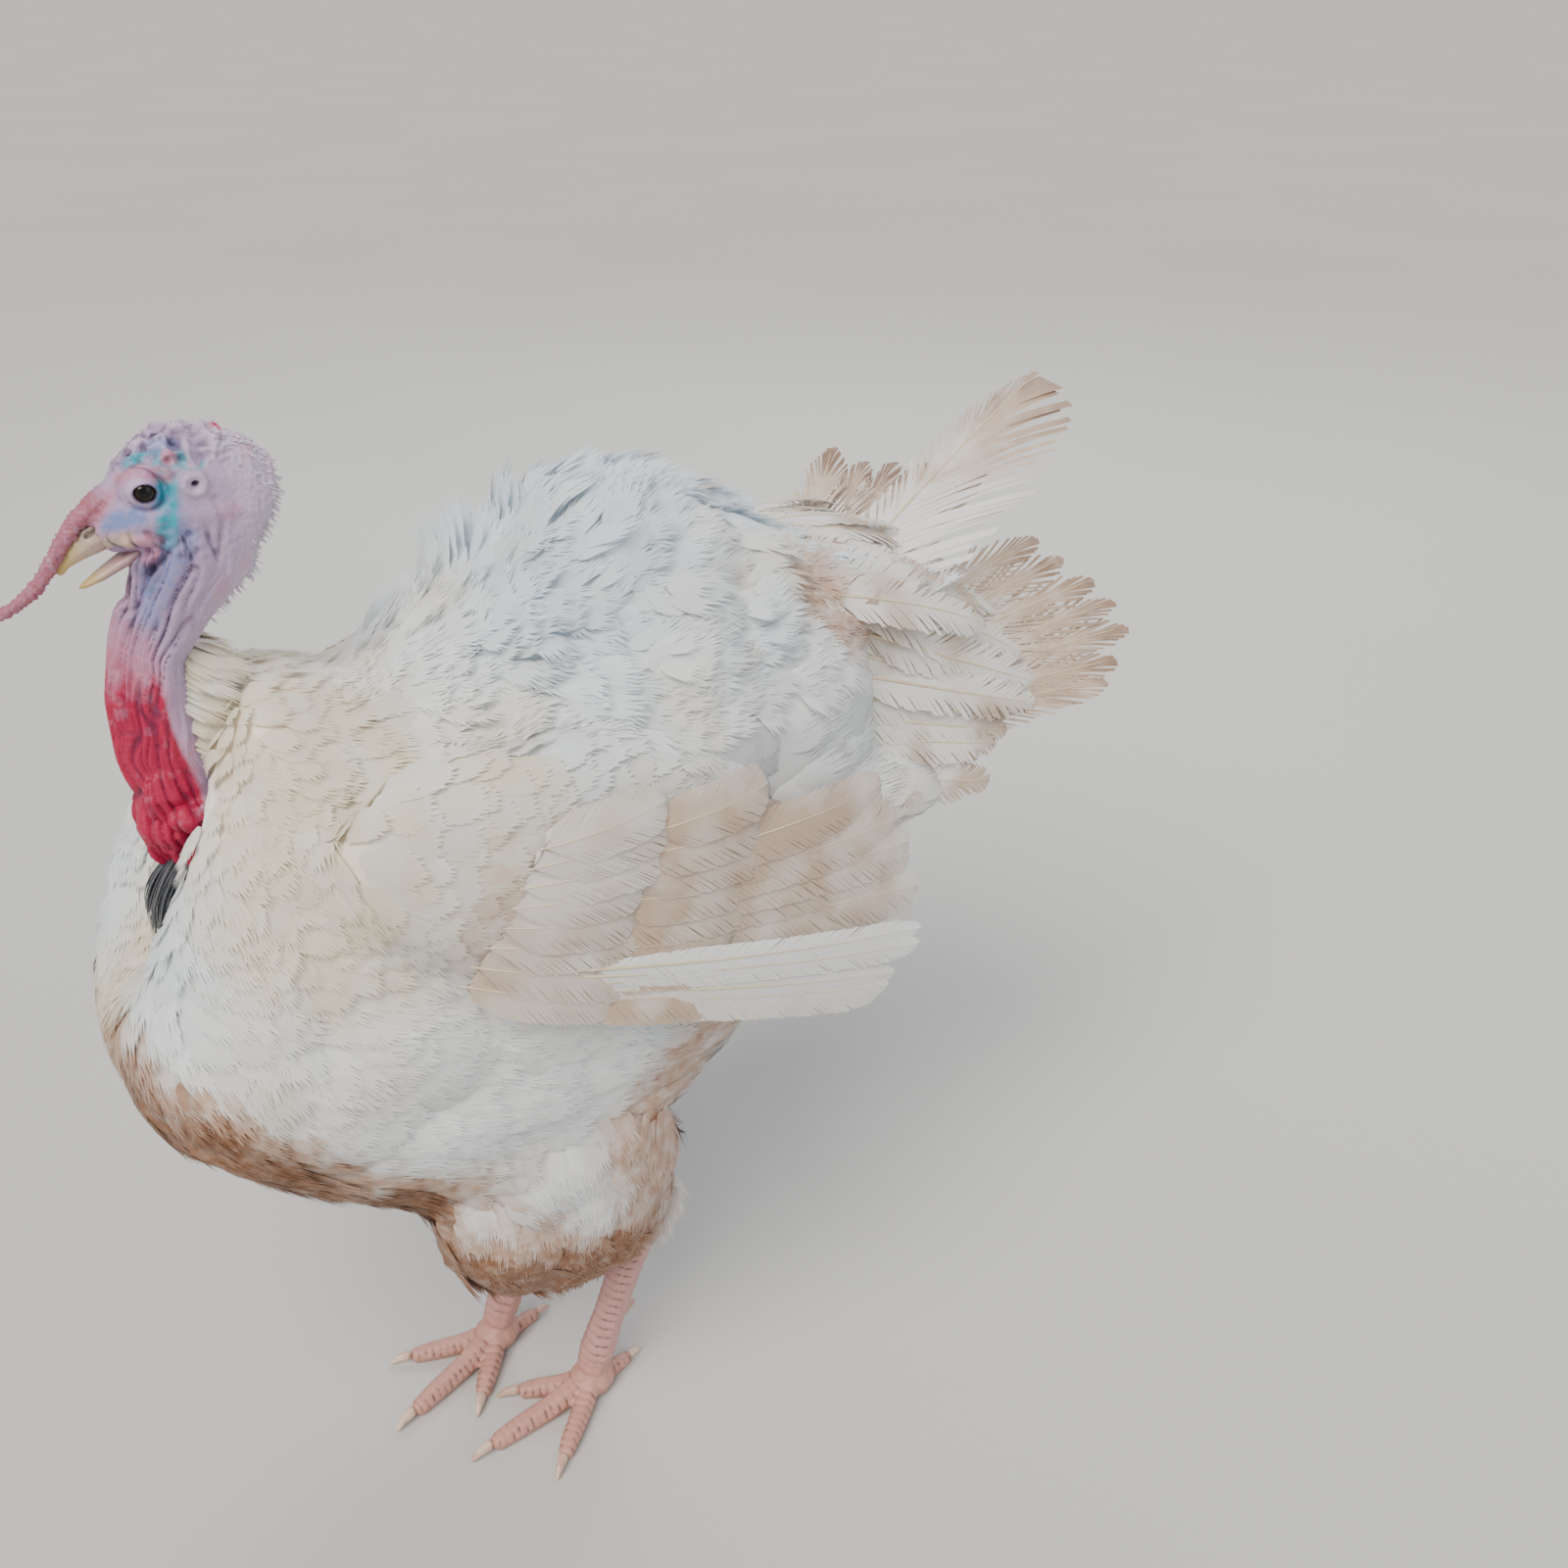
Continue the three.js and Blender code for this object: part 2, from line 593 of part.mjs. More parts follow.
place('head', head, 'skin');
place('neck', neckPart, 'skin');
place('bill_upper', cut(upperBillSolid(), lowerBillRoom), 'bill');
place('bill_lower', lowerBillSolid(), 'bill');
place('snood', cut(snoodSolid(), neckWell, upperBillRoom), 'redSkin');
place('eye_left', eyeSolid(), 'eye');
place('eye_right', mirrored(eyeSolid()), 'eye');
place('ear_left', earSolid(), 'skin');
place('ear_right', mirrored(earSolid()), 'skin');

const lobeRooms = ['middle', 'left', 'right'].map((side) => caruncleSolid(side, GAP));
const beardRoom = beardSolid(GAP);
place('caruncles_middle', cut(caruncleSolid('middle'), neckRoom), 'redSkin');
place('caruncles_left', cut(caruncleSolid('left'), neckRoom, lobeRooms[0]), 'redSkin');
place('caruncles_right', cut(caruncleSolid('right'), neckRoom, lobeRooms[0]), 'redSkin');
place('beard', cut(beardSolid(), neckRoom, ...lobeRooms), 'beard');

const thighRooms = [];
for (const side of ['left', 'right']) {
  const shankRoom = shankSolid(side, GAP);
  thighRooms.push(thighSolid(side, GAP));
  place(`thigh_${side}`, cut(thighSolid(side), shankRoom), 'plumage');
  place(`shank_${side}`, shankSolid(side), 'leg');
  place(`spur_${side}`, cut(spurSolid(side), shankRoom), 'claw');
  const earlier = [];
  for (const name of ['middle', 'inner', 'outer', 'hind']) {
    const toeRoom = toeSolid(side, name, GAP);
    place(`toe_${name}_${side}`, cut(toeSolid(side, name), shankRoom, ...earlier), 'leg');
    place(`claw_${name}_${side}`, cut(clawSolid(side, name), toeRoom), 'claw');
    earlier.push(toeRoom);
  }
}

place('trunk', cut(trunkSolid(), neckRoom, beardRoom, ...lobeRooms, ...thighRooms), 'plumage');

for (const [side, turned] of [['left', (solid) => solid], ['right', mirrored]]) {
  const armRoom = turned(wingArmSolid(side, GAP));
  const secondaries = largest(cut(turned(secondarySolid()), trunkRoom, armRoom));
  const primaries = cut(turned(primarySolid()), trunkRoom, armRoom, secondaries);
  place(`wing_${side}`, cut(turned(wingArmSolid(side)), trunkRoom, ...thighRooms), 'plumage');
  place(`secondaries_${side}`, secondaries, 'flight');
  place(`primaries_${side}`, primaries, 'flight');
}

const upperCoverts = upperCovertSolid();
const upperRoom = upperCovertSolid(GAP);
const lowerRoom = lowerCovertSolid(GAP);
place('tail_coverts_upper', cut(upperCoverts, trunkRoom), 'plumage');
place('tail_coverts_lower', cut(lowerCovertSolid(), trunkRoom, upperRoom), 'plumage');
const covered = join([trunkRoom, upperRoom, lowerRoom]);
const leftTailRoom = tailSolid(TAIL_FANS.tail_left, GAP);
const middleTailRoom = tailSolid(TAIL_FANS.tail_middle, GAP);
const EARLIER_ROOMS = { tail_left: [], tail_middle: [leftTailRoom], tail_right: [leftTailRoom, middleTailRoom] };
for (const [name, fan] of Object.entries(TAIL_FANS)) {
  place(name, cut(tailSolid(fan), covered, ...EARLIER_ROOMS[name]), 'flight');
}

const box = new THREE.Box3().setFromObject(bird);
bird.position.set(-(box.min.x + box.max.x) / 2, -(box.min.y + box.max.y) / 2, 0);
bird.updateMatrixWorld(true);

export default bird;
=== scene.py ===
"""A white domestic turkey tom, walking with its back ruffled and its tail half fanned, as a museum model.

The skin is one closed surface made from the frame's solids of flesh, drawn in by the depth of the coat.
The coat is solid mesh: small feathers follow the lie of the plumage, and wings and tail have quills.
Shapes are worked out in the bird's own millimetres: x to its left, y backward, z up.
"""

import json
import math
import bmesh
import bpy
import numpy as np
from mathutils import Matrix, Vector
from mathutils.bvhtree import BVHTree
from mathutils.kdtree import KDTree

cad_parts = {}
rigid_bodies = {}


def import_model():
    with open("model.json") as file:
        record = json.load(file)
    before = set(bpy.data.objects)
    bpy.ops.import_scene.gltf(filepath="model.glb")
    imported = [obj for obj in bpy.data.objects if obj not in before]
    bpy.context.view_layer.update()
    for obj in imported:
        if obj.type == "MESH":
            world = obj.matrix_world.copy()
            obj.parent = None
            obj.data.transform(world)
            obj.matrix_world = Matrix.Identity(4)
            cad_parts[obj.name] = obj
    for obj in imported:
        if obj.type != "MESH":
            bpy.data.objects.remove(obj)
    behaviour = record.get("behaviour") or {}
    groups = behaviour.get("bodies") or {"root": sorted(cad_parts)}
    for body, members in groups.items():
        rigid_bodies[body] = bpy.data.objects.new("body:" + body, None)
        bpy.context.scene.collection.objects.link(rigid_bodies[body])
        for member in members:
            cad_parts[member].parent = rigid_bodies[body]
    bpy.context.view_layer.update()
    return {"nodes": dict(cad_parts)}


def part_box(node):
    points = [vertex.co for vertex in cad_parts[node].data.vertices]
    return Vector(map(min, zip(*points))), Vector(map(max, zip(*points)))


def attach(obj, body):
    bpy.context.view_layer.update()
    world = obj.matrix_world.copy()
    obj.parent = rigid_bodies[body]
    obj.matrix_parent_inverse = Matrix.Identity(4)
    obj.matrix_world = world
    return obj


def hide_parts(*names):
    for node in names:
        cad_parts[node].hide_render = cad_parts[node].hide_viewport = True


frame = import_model()
NODES = frame["nodes"]
MM = 0.001
SIDES = {"left": 1, "right": -1}
TOE_NAMES = ("inner", "middle", "outer", "hind")

# ---------------------------------------------------------------- places on the bird, in its millimetres

EYE_CENTRE = np.array([13.9, -128.0, 663.5])
EYE_RADIUS = 8.4
EYE_OPENING = (4.9, 4.0)  # half the length and half the height between the lids
EAR_CENTRE = np.array([22.5, -106.0, 665.0])
NECK_AXIS = np.array([
    [-118, 440], [-132, 490], [-139, 528], [-139, 556], [-134, 580], [-122, 602], [-108, 625],
    [-102, 646], [-102, 668],
], float)  # y and z
SNOOD_AXIS = np.array([
    [1, -136, 667], [2, -145, 660], [2.5, -155, 652], [3, -166, 641], [3.5, -174, 629], [4, -184, 619],
    [3, -197, 612], [2, -210, 608],
], float)
FEET = {
    "left": {"joint": (43, 46, 22), "hock": (47, 92, 152), "heading": 10, "outward": 1},
    "right": {"joint": (-28, 4, 22), "hock": (-43, 70, 152), "heading": 24, "outward": -1},
}
TOES = {"inner": (32, 44), "middle": (0, 74), "outer": (-38, 55), "hind": (172, 26)}  # turn, length
TAIL_ROOT = np.array([0.0, 222.0, 505.0])
TAIL_LENGTH = 305.0
QUILL_SUNK = 20.0


def bird_origin():
    """Where the bird's own zero lies in the frame, from the middle between its eyes."""
    corners = [Vector(c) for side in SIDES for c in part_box("eye_" + side)]
    middle = sum(corners, Vector()) / len(corners)
    return np.array([middle.x, middle.y - EYE_CENTRE[1] * MM, 0.0])


ORIGIN = bird_origin()


def to_bird(points):
    """From the frame's metres to the bird's own millimetres."""
    return (np.asarray(points, float) - ORIGIN) / MM


def to_frame(points):
    """From the bird's own millimetres to the frame's metres."""
    return np.asarray(points, float) * MM + ORIGIN


# ---------------------------------------------------------------- numbers: blends, noise, distances


def ease(value, low, high):
    """0 below low, 1 above high, smooth between; high may be the smaller one."""
    t = np.clip((value - low) / (high - low), 0, 1)
    return t * t * (3 - 2 * t)


def unit(vectors):
    """The vectors at length 1."""
    return vectors / np.maximum(np.linalg.norm(vectors, axis=-1, keepdims=True), 1e-9)


def lattice(cell, seed):
    """A repeatable value from 0 to 1 for each whole-number cell."""
    big = cell.astype(np.int64)
    mixed = big[..., 0] * 374761393 + big[..., 1] * 668265263 + big[..., 2] * 2147483629 + seed * 1274126177
    mixed = (mixed ^ (mixed >> 13)) * 1103515245 & 0xFFFFFFFF
    mixed = (mixed ^ (mixed >> 15)) * 2246822519 & 0xFFFFFFFF
    return ((mixed ^ (mixed >> 16)) & 0xFFFFFF) / float(0xFFFFFF)


def noise(points, size, seed=0):
    """Smooth noise from -1 to 1 with lumps of about `size` millimetres."""
    scaled = np.asarray(points, float) / size
    cell = np.floor(scaled)
    part = scaled - cell
    part = part * part * (3 - 2 * part)
    total = np.zeros(len(scaled))
    for corner in np.ndindex(2, 2, 2):
        share = np.prod(np.where(corner, part, 1 - part), axis=1)
        total += share * lattice(cell + corner, seed)
    return total * 2 - 1


def ridges(points, size, seed=0):
    """Narrow winding ridges, 1 on the crest and 0 far from it."""
    return (1 - np.abs(noise(points, size, seed))) ** 3


def pebbles(points, size, seed=0):
    """Round bumps packed side by side: 1 on top of a bump, 0 in the furrows between."""
    scaled = np.asarray(points, float) / size
    cell = np.floor(scaled)
    nearest = np.full(len(scaled), 9.0)
    for step in np.ndindex(3, 3, 3):
        other = cell + np.array(step) - 1
        jitter = np.stack([lattice(other, seed + k) for k in range(3)], axis=1)
        nearest = np.minimum(nearest, np.linalg.norm(other + jitter - scaled, axis=1))
    return np.clip(1 - nearest, 0, 1)


def to_line(points, line):
    """Distance from each point to a line of points, and how far along the line it is, in mm."""
    line = np.asarray(line, float)
    best = np.full(len(points), 1e9)
    along = np.zeros(len(points))
    start = 0.0
    for a, b in zip(line[:-1], line[1:]):
        run = b - a
        length = np.linalg.norm(run)
        t = np.clip((points - a) @ run / length**2, 0, 1)
        distance = np.linalg.norm(points - a - t[:, None] * run, axis=1)
        closer = distance < best
        best = np.where(closer, distance, best)
        along = np.where(closer, start + t * length, along)
        start += length
    return best, along


def near(points, centre, radius):
    """1 at the centre, falling to 0 softly over the radius."""
    return ease(np.linalg.norm(points - np.asarray(centre, float), axis=1), radius, radius * 0.45)


def near_line(points, line, radius):
    """1 on a line of points, falling to 0 softly over the radius."""
    return ease(to_line(points, line)[0], radius, radius * 0.35)


# ---------------------------------------------------------------- meshes


def new_object(name, mesh):
    """Puts a mesh, lamp or camera into the scene."""
    made = bpy.data.objects.new(name, mesh)
    bpy.context.scene.collection.objects.link(made)
    return made


def mesh_of(name, points, triangles, values=None, map_points=None, materials=(), slots=None):
    """A smooth mesh piece from arrays, in the bird's millimetres, with named values at its points."""
    mesh = bpy.data.meshes.new(name)
    mesh.vertices.add(len(points))
    mesh.vertices.foreach_set("co", to_frame(points).astype(np.float32).ravel())
    mesh.loops.add(len(triangles) * 3)
    mesh.loops.foreach_set("vertex_index", np.asarray(triangles, np.int32).ravel())
    mesh.polygons.add(len(triangles))
    mesh.polygons.foreach_set("loop_start", np.arange(len(triangles), dtype=np.int32) * 3)
    mesh.polygons.foreach_set("use_smooth", np.ones(len(triangles), bool))
    mesh.update(calc_edges=True)
    for key, value in (values or {}).items():
        set_value(mesh, key, value)
    if map_points is not None:
        layer = mesh.uv_layers.new(name="OFBake")
        layer.data.foreach_set("uv", map_points[np.asarray(triangles).ravel()].astype(np.float32).ravel())
    for material in materials:
        mesh.materials.append(material)
    if slots is not None:
        mesh.polygons.foreach_set("material_index", np.asarray(slots, np.int32))
    return new_object(name, mesh)


def set_value(mesh, key, value):
    """Keeps one number for each point under a name, for the materials."""
    attribute = mesh.attributes.new(key, "FLOAT", "POINT")
    attribute.data.foreach_set("value", np.asarray(value, np.float32))


def points_of(mesh):
    """The mesh's points in the bird's millimetres."""
    co = np.empty(len(mesh.vertices) * 3, np.float32)
    mesh.vertices.foreach_get("co", co)
    return to_bird(co.reshape(-1, 3))


def normals_of(mesh):
    normals = np.empty(len(mesh.vertices) * 3, np.float32)
    mesh.vertex_normals.foreach_get("vector", normals)
    return normals.reshape(-1, 3).astype(float)


def triangles_of(mesh):
    mesh.calc_loop_triangles()
    corners = np.empty(len(mesh.loop_triangles) * 3, np.int32)
    mesh.loop_triangles.foreach_get("vertices", corners)
    return corners.reshape(-1, 3)


def move_points(mesh, points):
    """Gives the mesh's points new places, in the bird's millimetres."""
    mesh.vertices.foreach_set("co", to_frame(points).astype(np.float32).ravel())
    mesh.update()


def solid_of(name, nodes, grow):
    """One mesh of several frame solids, each grown a little so that neighbours run into each other."""
    whole = bmesh.new()
    for node in nodes:
        single = bmesh.new()
        single.from_mesh(NODES[node].data)
        bmesh.ops.remove_doubles(single, verts=single.verts, dist=1e-6)
        bmesh.ops.recalc_face_normals(single, faces=single.faces)
        single.normal_update()
        for vert in single.verts:
            vert.co += vert.normal * grow * MM
        part = bpy.data.meshes.new(node)
        single.to_mesh(part)
        single.free()
        whole.from_mesh(part)
        bpy.data.meshes.remove(part)
    mesh = bpy.data.meshes.new(name)
    whole.to_mesh(mesh)
    whole.free()
    return new_object(name, mesh)


def modified(piece, kind, **settings):
    """Adds a modifier, applies it and gives the piece back."""
    modifier = piece.modifiers.new(kind.lower(), kind)
    for key, value in settings.items():
        setattr(modifier, key, value)
    bpy.context.view_layer.update()
    shown = piece.evaluated_get(bpy.context.evaluated_depsgraph_get())
    mesh = bpy.data.meshes.new_from_object(shown)
    piece.modifiers.clear()
    old = piece.data
    piece.data = mesh
    bpy.data.meshes.remove(old)
    return piece


def fine_solid(name, nodes, grain, smooth, grow=0.0):
    """Several frame solids as one even surface: its grain in mm, rounds of smoothing, growth beforehand."""
    piece = solid_of(name, nodes, grow)
    modified(piece, "REMESH", mode="VOXEL", voxel_size=grain * MM)
    return modified(piece, "SMOOTH", factor=0.5, iterations=smooth)


def joined_solid(first, other):
    """The two closed surfaces as one."""
    modified(first, "BOOLEAN", operation="UNION", solver="MANIFOLD", object=other)
    bpy.data.objects.remove(other)
    return first


# ---------------------------------------------------------------- materials


def linear(hex_colour):
    """An sRGB hex colour as linear red, green, blue and a full alpha."""
    parts = [int(hex_colour[k : k + 2], 16) / 255 for k in (1, 3, 5)]
    return [c / 12.92 if c <= 0.04045 else ((c + 0.055) / 1.055) ** 2.4 for c in parts] + [1.0]


def add(tree, kind, inputs=None, **settings):
    """Adds a node: its settings by name, its inputs as values or as the sockets to link from."""
    made = tree.nodes.new("ShaderNode" + kind)
    for key, value in settings.items():
        setattr(made, key, value)
    for key, value in (inputs or {}).items():
        if isinstance(value, bpy.types.NodeSocket):
            tree.links.new(value, made.inputs[key])
        else:
            made.inputs[key].default_value = value
    return made


def blank(name):
    """A material with nothing in it but its output node."""
    material = bpy.data.materials.new(name)
    material.use_nodes = True
    material.node_tree.nodes.clear()
    return material, material.node_tree


def finish_material(tree, shader):
    """Links the last shader to the output."""
    add(tree, "OutputMaterial", {"Surface": shader.outputs[0]})


def tinted(tree, base, layers, least=0.45):
    """Lays colours over a base colour, each by the value of a named attribute.

    Noise breaks each of them, down to the least share and up to MOST_SHARE.
    """
    place = add(tree, "TexCoord").outputs["Object"]
    colour = base
    for key, hex_colour, share, grain in layers:
        amount = add(tree, "Attribute", attribute_name=key).outputs["Fac"]
        speckle = add(tree, "TexNoise", {"Vector": place, "Scale": 1 / (grain * MM), "Detail": 3.0})
        ragged = add(tree, "MapRange", {0: speckle.outputs["Fac"], 1: 0.25, 2: 0.75, 3: least, 4: MOST_SHARE})
        ragged = add(tree, "Math", {0: amount, 1: ragged.outputs[0]}, operation="MULTIPLY", use_clamp=True)
        share = add(tree, "Math", {0: ragged.outputs[0], 1: share}, operation="MULTIPLY").outputs[0]
        mix = add(tree, "Mix", {0: share, 6: colour, 7: linear(hex_colour)}, data_type="RGBA")
        colour = mix.outputs[2]
    return colour


WHITE_PLUME = "#f8f9f9"
MOST_SHARE = 1.4  # how far noise strengthens a laid colour where it is strongest
PLUMAGE_LAYERS = [
    # value, colour, share, grain of its edge in mm
    # the cool blue is partly a painted skylight on the back's top
    ("cool_tone_and_painted_skylight", "#e2eef6", 0.75, 30),
    # the cream is partly painted shade on the front
    ("cream_tone_and_painted_shade", "#efe4cd", 0.85, 22),
    ("tan", "#cfa585", 0.85, 9),
    ("dirt", "#93603a", 0.9, 7),
]


def lit_through(tree, shader, colour, share):
    """Lets a share of the light through a thin sheet, as it goes through the barbs of a feather."""
    behind = add(tree, "BsdfTranslucent", {"Color": colour})
    return add(tree, "MixShader", {0: share, 1: shader.outputs[0], 2: behind.outputs[0]})


def keratin_plume():
    """Body feathers, soft keratin barbs without a gloss: a matt white that glows a little against light."""
    material, tree = blank("keratin_plume_soft")
    colour = tinted(tree, linear(WHITE_PLUME), PLUMAGE_LAYERS)
    tint = add(tree, "Attribute", attribute_name="tint").outputs["Fac"]
    colour = add(tree, "Mix", {0: 1.0, 6: colour, 7: tint}, data_type="RGBA", blend_type="MULTIPLY")
    shader = add(tree, "BsdfPrincipled", {
        "Base Color": colour.outputs[2], "Roughness": 0.85, "IOR": 1.54, "Specular IOR Level": 0.25,
        "Sheen Weight": 0.2, "Sheen Roughness": 0.5,
    })
    finish_material(tree, lit_through(tree, shader, colour.outputs[2], 0.32))
    return material


def keratin_vane():
    """Flight feathers, zipped keratin barbs: satin, with the barbs as fine lines across the vane."""
    material, tree = blank("keratin_vane_zipped")
    colour = tinted(tree, linear(WHITE_PLUME), [
        ("cream_tone_and_painted_shade", "#efe4cd", 0.85, 22),
        ("tan", "#cbaf97", 0.95, 16),
        ("dirt", "#86644d", 0.9, 9),
    ], least=0.8)
    tint = add(tree, "Attribute", attribute_name="tint").outputs["Fac"]
    barb = add(tree, "Attribute", attribute_name="barb").outputs["Fac"]
    # Real barbs lie 0.4 mm apart; these lines are drawn near 1.2 mm so that they show, as bumps and as
    # painted shade that darkens the colour between the barbs.
    phase = add(tree, "Math", {0: barb, 1: 2 * math.pi}, operation="MULTIPLY").outputs[0]
    wave = add(tree, "Math", {0: phase}, operation="SINE").outputs[0]
    dim = add(tree, "MapRange", {0: wave, 1: -1.0, 2: 1.0, 3: 0.93, 4: 1.0}).outputs[0]
    shade = add(tree, "Math", {0: tint, 1: dim}, operation="MULTIPLY").outputs[0]
    colour = add(tree, "Mix", {0: 1.0, 6: colour, 7: shade}, data_type="RGBA", blend_type="MULTIPLY")
    relief = add(tree, "Bump", {"Height": wave, "Strength": 0.35, "Distance": 0.15 * MM})
    shader = add(tree, "BsdfPrincipled", {
        "Base Color": colour.outputs[2], "Roughness": 0.62, "IOR": 1.54, "Specular IOR Level": 0.35,
        "Sheen Weight": 0.15, "Normal": relief.outputs[0],
    })
    finish_material(tree, lit_through(tree, shader, colour.outputs[2], 0.18))
    return material


def keratin_shaft():
    """The quill of a feather, solid keratin: ivory and faintly glossy, darker where it is stained."""
    material, tree = blank("keratin_shaft_smooth")
    place = add(tree, "TexCoord").outputs["Object"]
    streak = add(tree, "TexNoise", {"Vector": place, "Scale": 1 / (12 * MM), "Detail": 4.0})
    colour = add(tree, "Mix", {
        0: streak.outputs["Fac"], 6: linear("#e8dcc4"), 7: linear("#c9b08c"),
    }, data_type="RGBA")
    shader = add(tree, "BsdfPrincipled", {"Base Color": colour.outputs[2], "Roughness": 0.4, "IOR": 1.54})
    finish_material(tree, shader)
    return material


def bare_skin():
    """The naked skin of head and neck, soft and faintly moist: fine grain, thin pink over blue."""
    material, tree = blank("living_skin_bare")
    place = add(tree, "TexCoord").outputs["Object"]
    mottle = add(tree, "TexNoise", {"Vector": place, "Scale": 1 / (7 * MM), "Detail": 5.0, "Roughness": 0.6})
    base = add(tree, "Mix", {
        0: mottle.outputs["Fac"], 6: linear("#9d8bb5"), 7: linear("#c0a4bb"),
    }, data_type="RGBA").outputs[2]
    colour = tinted(tree, base, [
        ("pale", "#dcd3de", 0.75, 2.5),
        ("blue", "#6f86bd", 0.85, 4),
        ("turquoise", "#2d9db0", 1.05, 3.2),
        ("pink", "#c67f93", 0.85, 4),
        ("rose", "#a4606c", 0.95, 3),
        ("crimson", "#ab1c45", 1.35, 7),
        ("beige", "#cdb59b", 0.9, 3),
        # painted shade in the creases, hollows, lid rims and ear holes of head and neck
        ("painted_shade", "#2b2140", 0.9, 9),
    ])
    grain = add(tree, "TexVoronoi", {"Vector": place, "Scale": 1 / (1.3 * MM)})
    fine = add(tree, "TexNoise", {"Vector": place, "Scale": 1 / (0.6 * MM), "Detail": 2.0})
    height = add(tree, "Math", {0: grain.outputs["Distance"], 1: fine.outputs["Fac"]}, operation="ADD")
    relief = add(tree, "Bump", {"Height": height.outputs[0], "Strength": 0.5, "Distance": 0.35 * MM})
    shader = add(tree, "BsdfPrincipled", {
        "Base Color": colour, "Roughness": 0.48, "IOR": 1.4, "Normal": relief.outputs[0],
        "Subsurface Weight": 0.2, "Subsurface Radius": (0.0035, 0.0012, 0.0008), "Subsurface Scale": 1.0,
    })
    finish_material(tree, shader)
    return material


def coated_skin():
    """The skin under the plumage with its down, matt, in the same markings and painted light and shade as the
    feathers over it.
    """
    material, tree = blank("living_skin_downy")
    place = add(tree, "TexCoord").outputs["Object"]
    colour = tinted(tree, linear(WHITE_PLUME), PLUMAGE_LAYERS)
    down = add(tree, "TexNoise", {"Vector": place, "Scale": 1 / (3 * MM), "Detail": 4.0})
    relief = add(tree, "Bump", {"Height": down.outputs["Fac"], "Strength": 0.6, "Distance": 1.5 * MM})
    shader = add(tree, "BsdfPrincipled", {
        "Base Color": colour, "Roughness": 0.95, "IOR": 1.4, "Normal": relief.outputs[0],
    })
    finish_material(tree, shader)
    return material


def leg_scales():
    """Horny scutes over shank and toes: pink flesh through thin plates, with dark joints between them."""
    material, tree = blank("scute_keratin_overlapping")
    place = add(tree, "TexCoord").outputs["Object"]
    mottle = add(tree, "TexNoise", {"Vector": place, "Scale": 1 / (9 * MM), "Detail": 4.0})
    base = add(tree, "Mix", {
        0: mottle.outputs["Fac"], 6: linear("#b47d79"), 7: linear("#cc9d97"),
    }, data_type="RGBA").outputs[2]
    colour = tinted(tree, base, [
        ("tan", "#bf8a70", 0.5, 8),
        ("joint", "#3f2c2b", 0.85, 2.5),
    ])
    cells = add(tree, "TexVoronoi", {"Vector": place, "Scale": 1 / (1.8 * MM)}, feature="DISTANCE_TO_EDGE")
    relief = add(tree, "Bump", {"Height": cells.outputs["Distance"], "Strength": 0.5, "Distance": 0.4 * MM})
    shader = add(tree, "BsdfPrincipled", {
        "Base Color": colour, "Roughness": 0.5, "IOR": 1.54, "Normal": relief.outputs[0],
        "Subsurface Weight": 0.08, "Subsurface Radius": (0.003, 0.001, 0.0008), "Subsurface Scale": 1.0,
    })
    finish_material(tree, shader)
    return material


def horn(name, deep, light, tip, grain):
    """Grown horn: smooth, layered lengthwise, its colour passing from the root to the worn tip."""
    material, tree = blank(name)
    place = add(tree, "TexCoord").outputs["Object"]
    along = add(tree, "Attribute", attribute_name="along").outputs["Fac"]
    streak = add(tree, "TexNoise", {"Vector": place, "Scale": 1 / (grain * MM), "Detail": 5.0})
    body = add(tree, "Mix", {0: streak.outputs["Fac"], 6: linear(deep), 7: linear(light)}, data_type="RGBA")
    colour = add(tree, "Mix", {0: along, 6: body.outputs[2], 7: linear(tip)}, data_type="RGBA").outputs[2]
    # The dark layer is painted shade in the nostrils.
    colour = tinted(tree, colour, [("pink", "#b98494", 0.8, 3), ("painted_shade", "#251a1c", 0.95, 1.5)])
    relief = add(tree, "Bump", {"Height": streak.outputs["Fac"], "Strength": 0.25, "Distance": 0.3 * MM})
    shader = add(tree, "BsdfPrincipled", {
        "Base Color": colour, "Roughness": 0.36, "IOR": 1.54, "Normal": relief.outputs[0],
    })
    finish_material(tree, shader)
    return material


def living_eye():
    """A wet eyeball: dark brown iris with fine spokes round a black pupil, under a clear cornea."""
    material, tree = blank("living_eye_wet")
    ring = add(tree, "Attribute", attribute_name="from_axis").outputs["Fac"]
    spoke = add(tree, "Attribute", attribute_name="spoke").outputs["Fac"]
    wave = add(tree, "Math", {0: spoke}, operation="SINE").outputs[0]
    iris = add(tree, "Mix", {
        0: add(tree, "MapRange", {0: wave, 1: -1.0, 2: 1.0}).outputs[0],
        6: linear("#0d0806"), 7: linear("#2a180d"),
    }, data_type="RGBA").outputs[2]
    pupil = add(tree, "MapRange", {0: ring, 1: 2.6, 2: 2.9}).outputs[0]
    colour = add(tree, "Mix", {0: pupil, 6: linear("#040404"), 7: iris}, data_type="RGBA").outputs[2]
    white = add(tree, "MapRange", {0: ring, 1: 5.0, 2: 5.6}).outputs[0]
    colour = add(tree, "Mix", {0: white, 6: colour, 7: linear("#3b2c2b")}, data_type="RGBA").outputs[2]
    shader = add(tree, "BsdfPrincipled", {
        "Base Color": colour, "Roughness": 0.12, "IOR": 1.38, "Specular IOR Level": 0.3,
        "Coat Weight": 0.3, "Coat Roughness": 0.02,
    })
    finish_material(tree, shader)
    return material


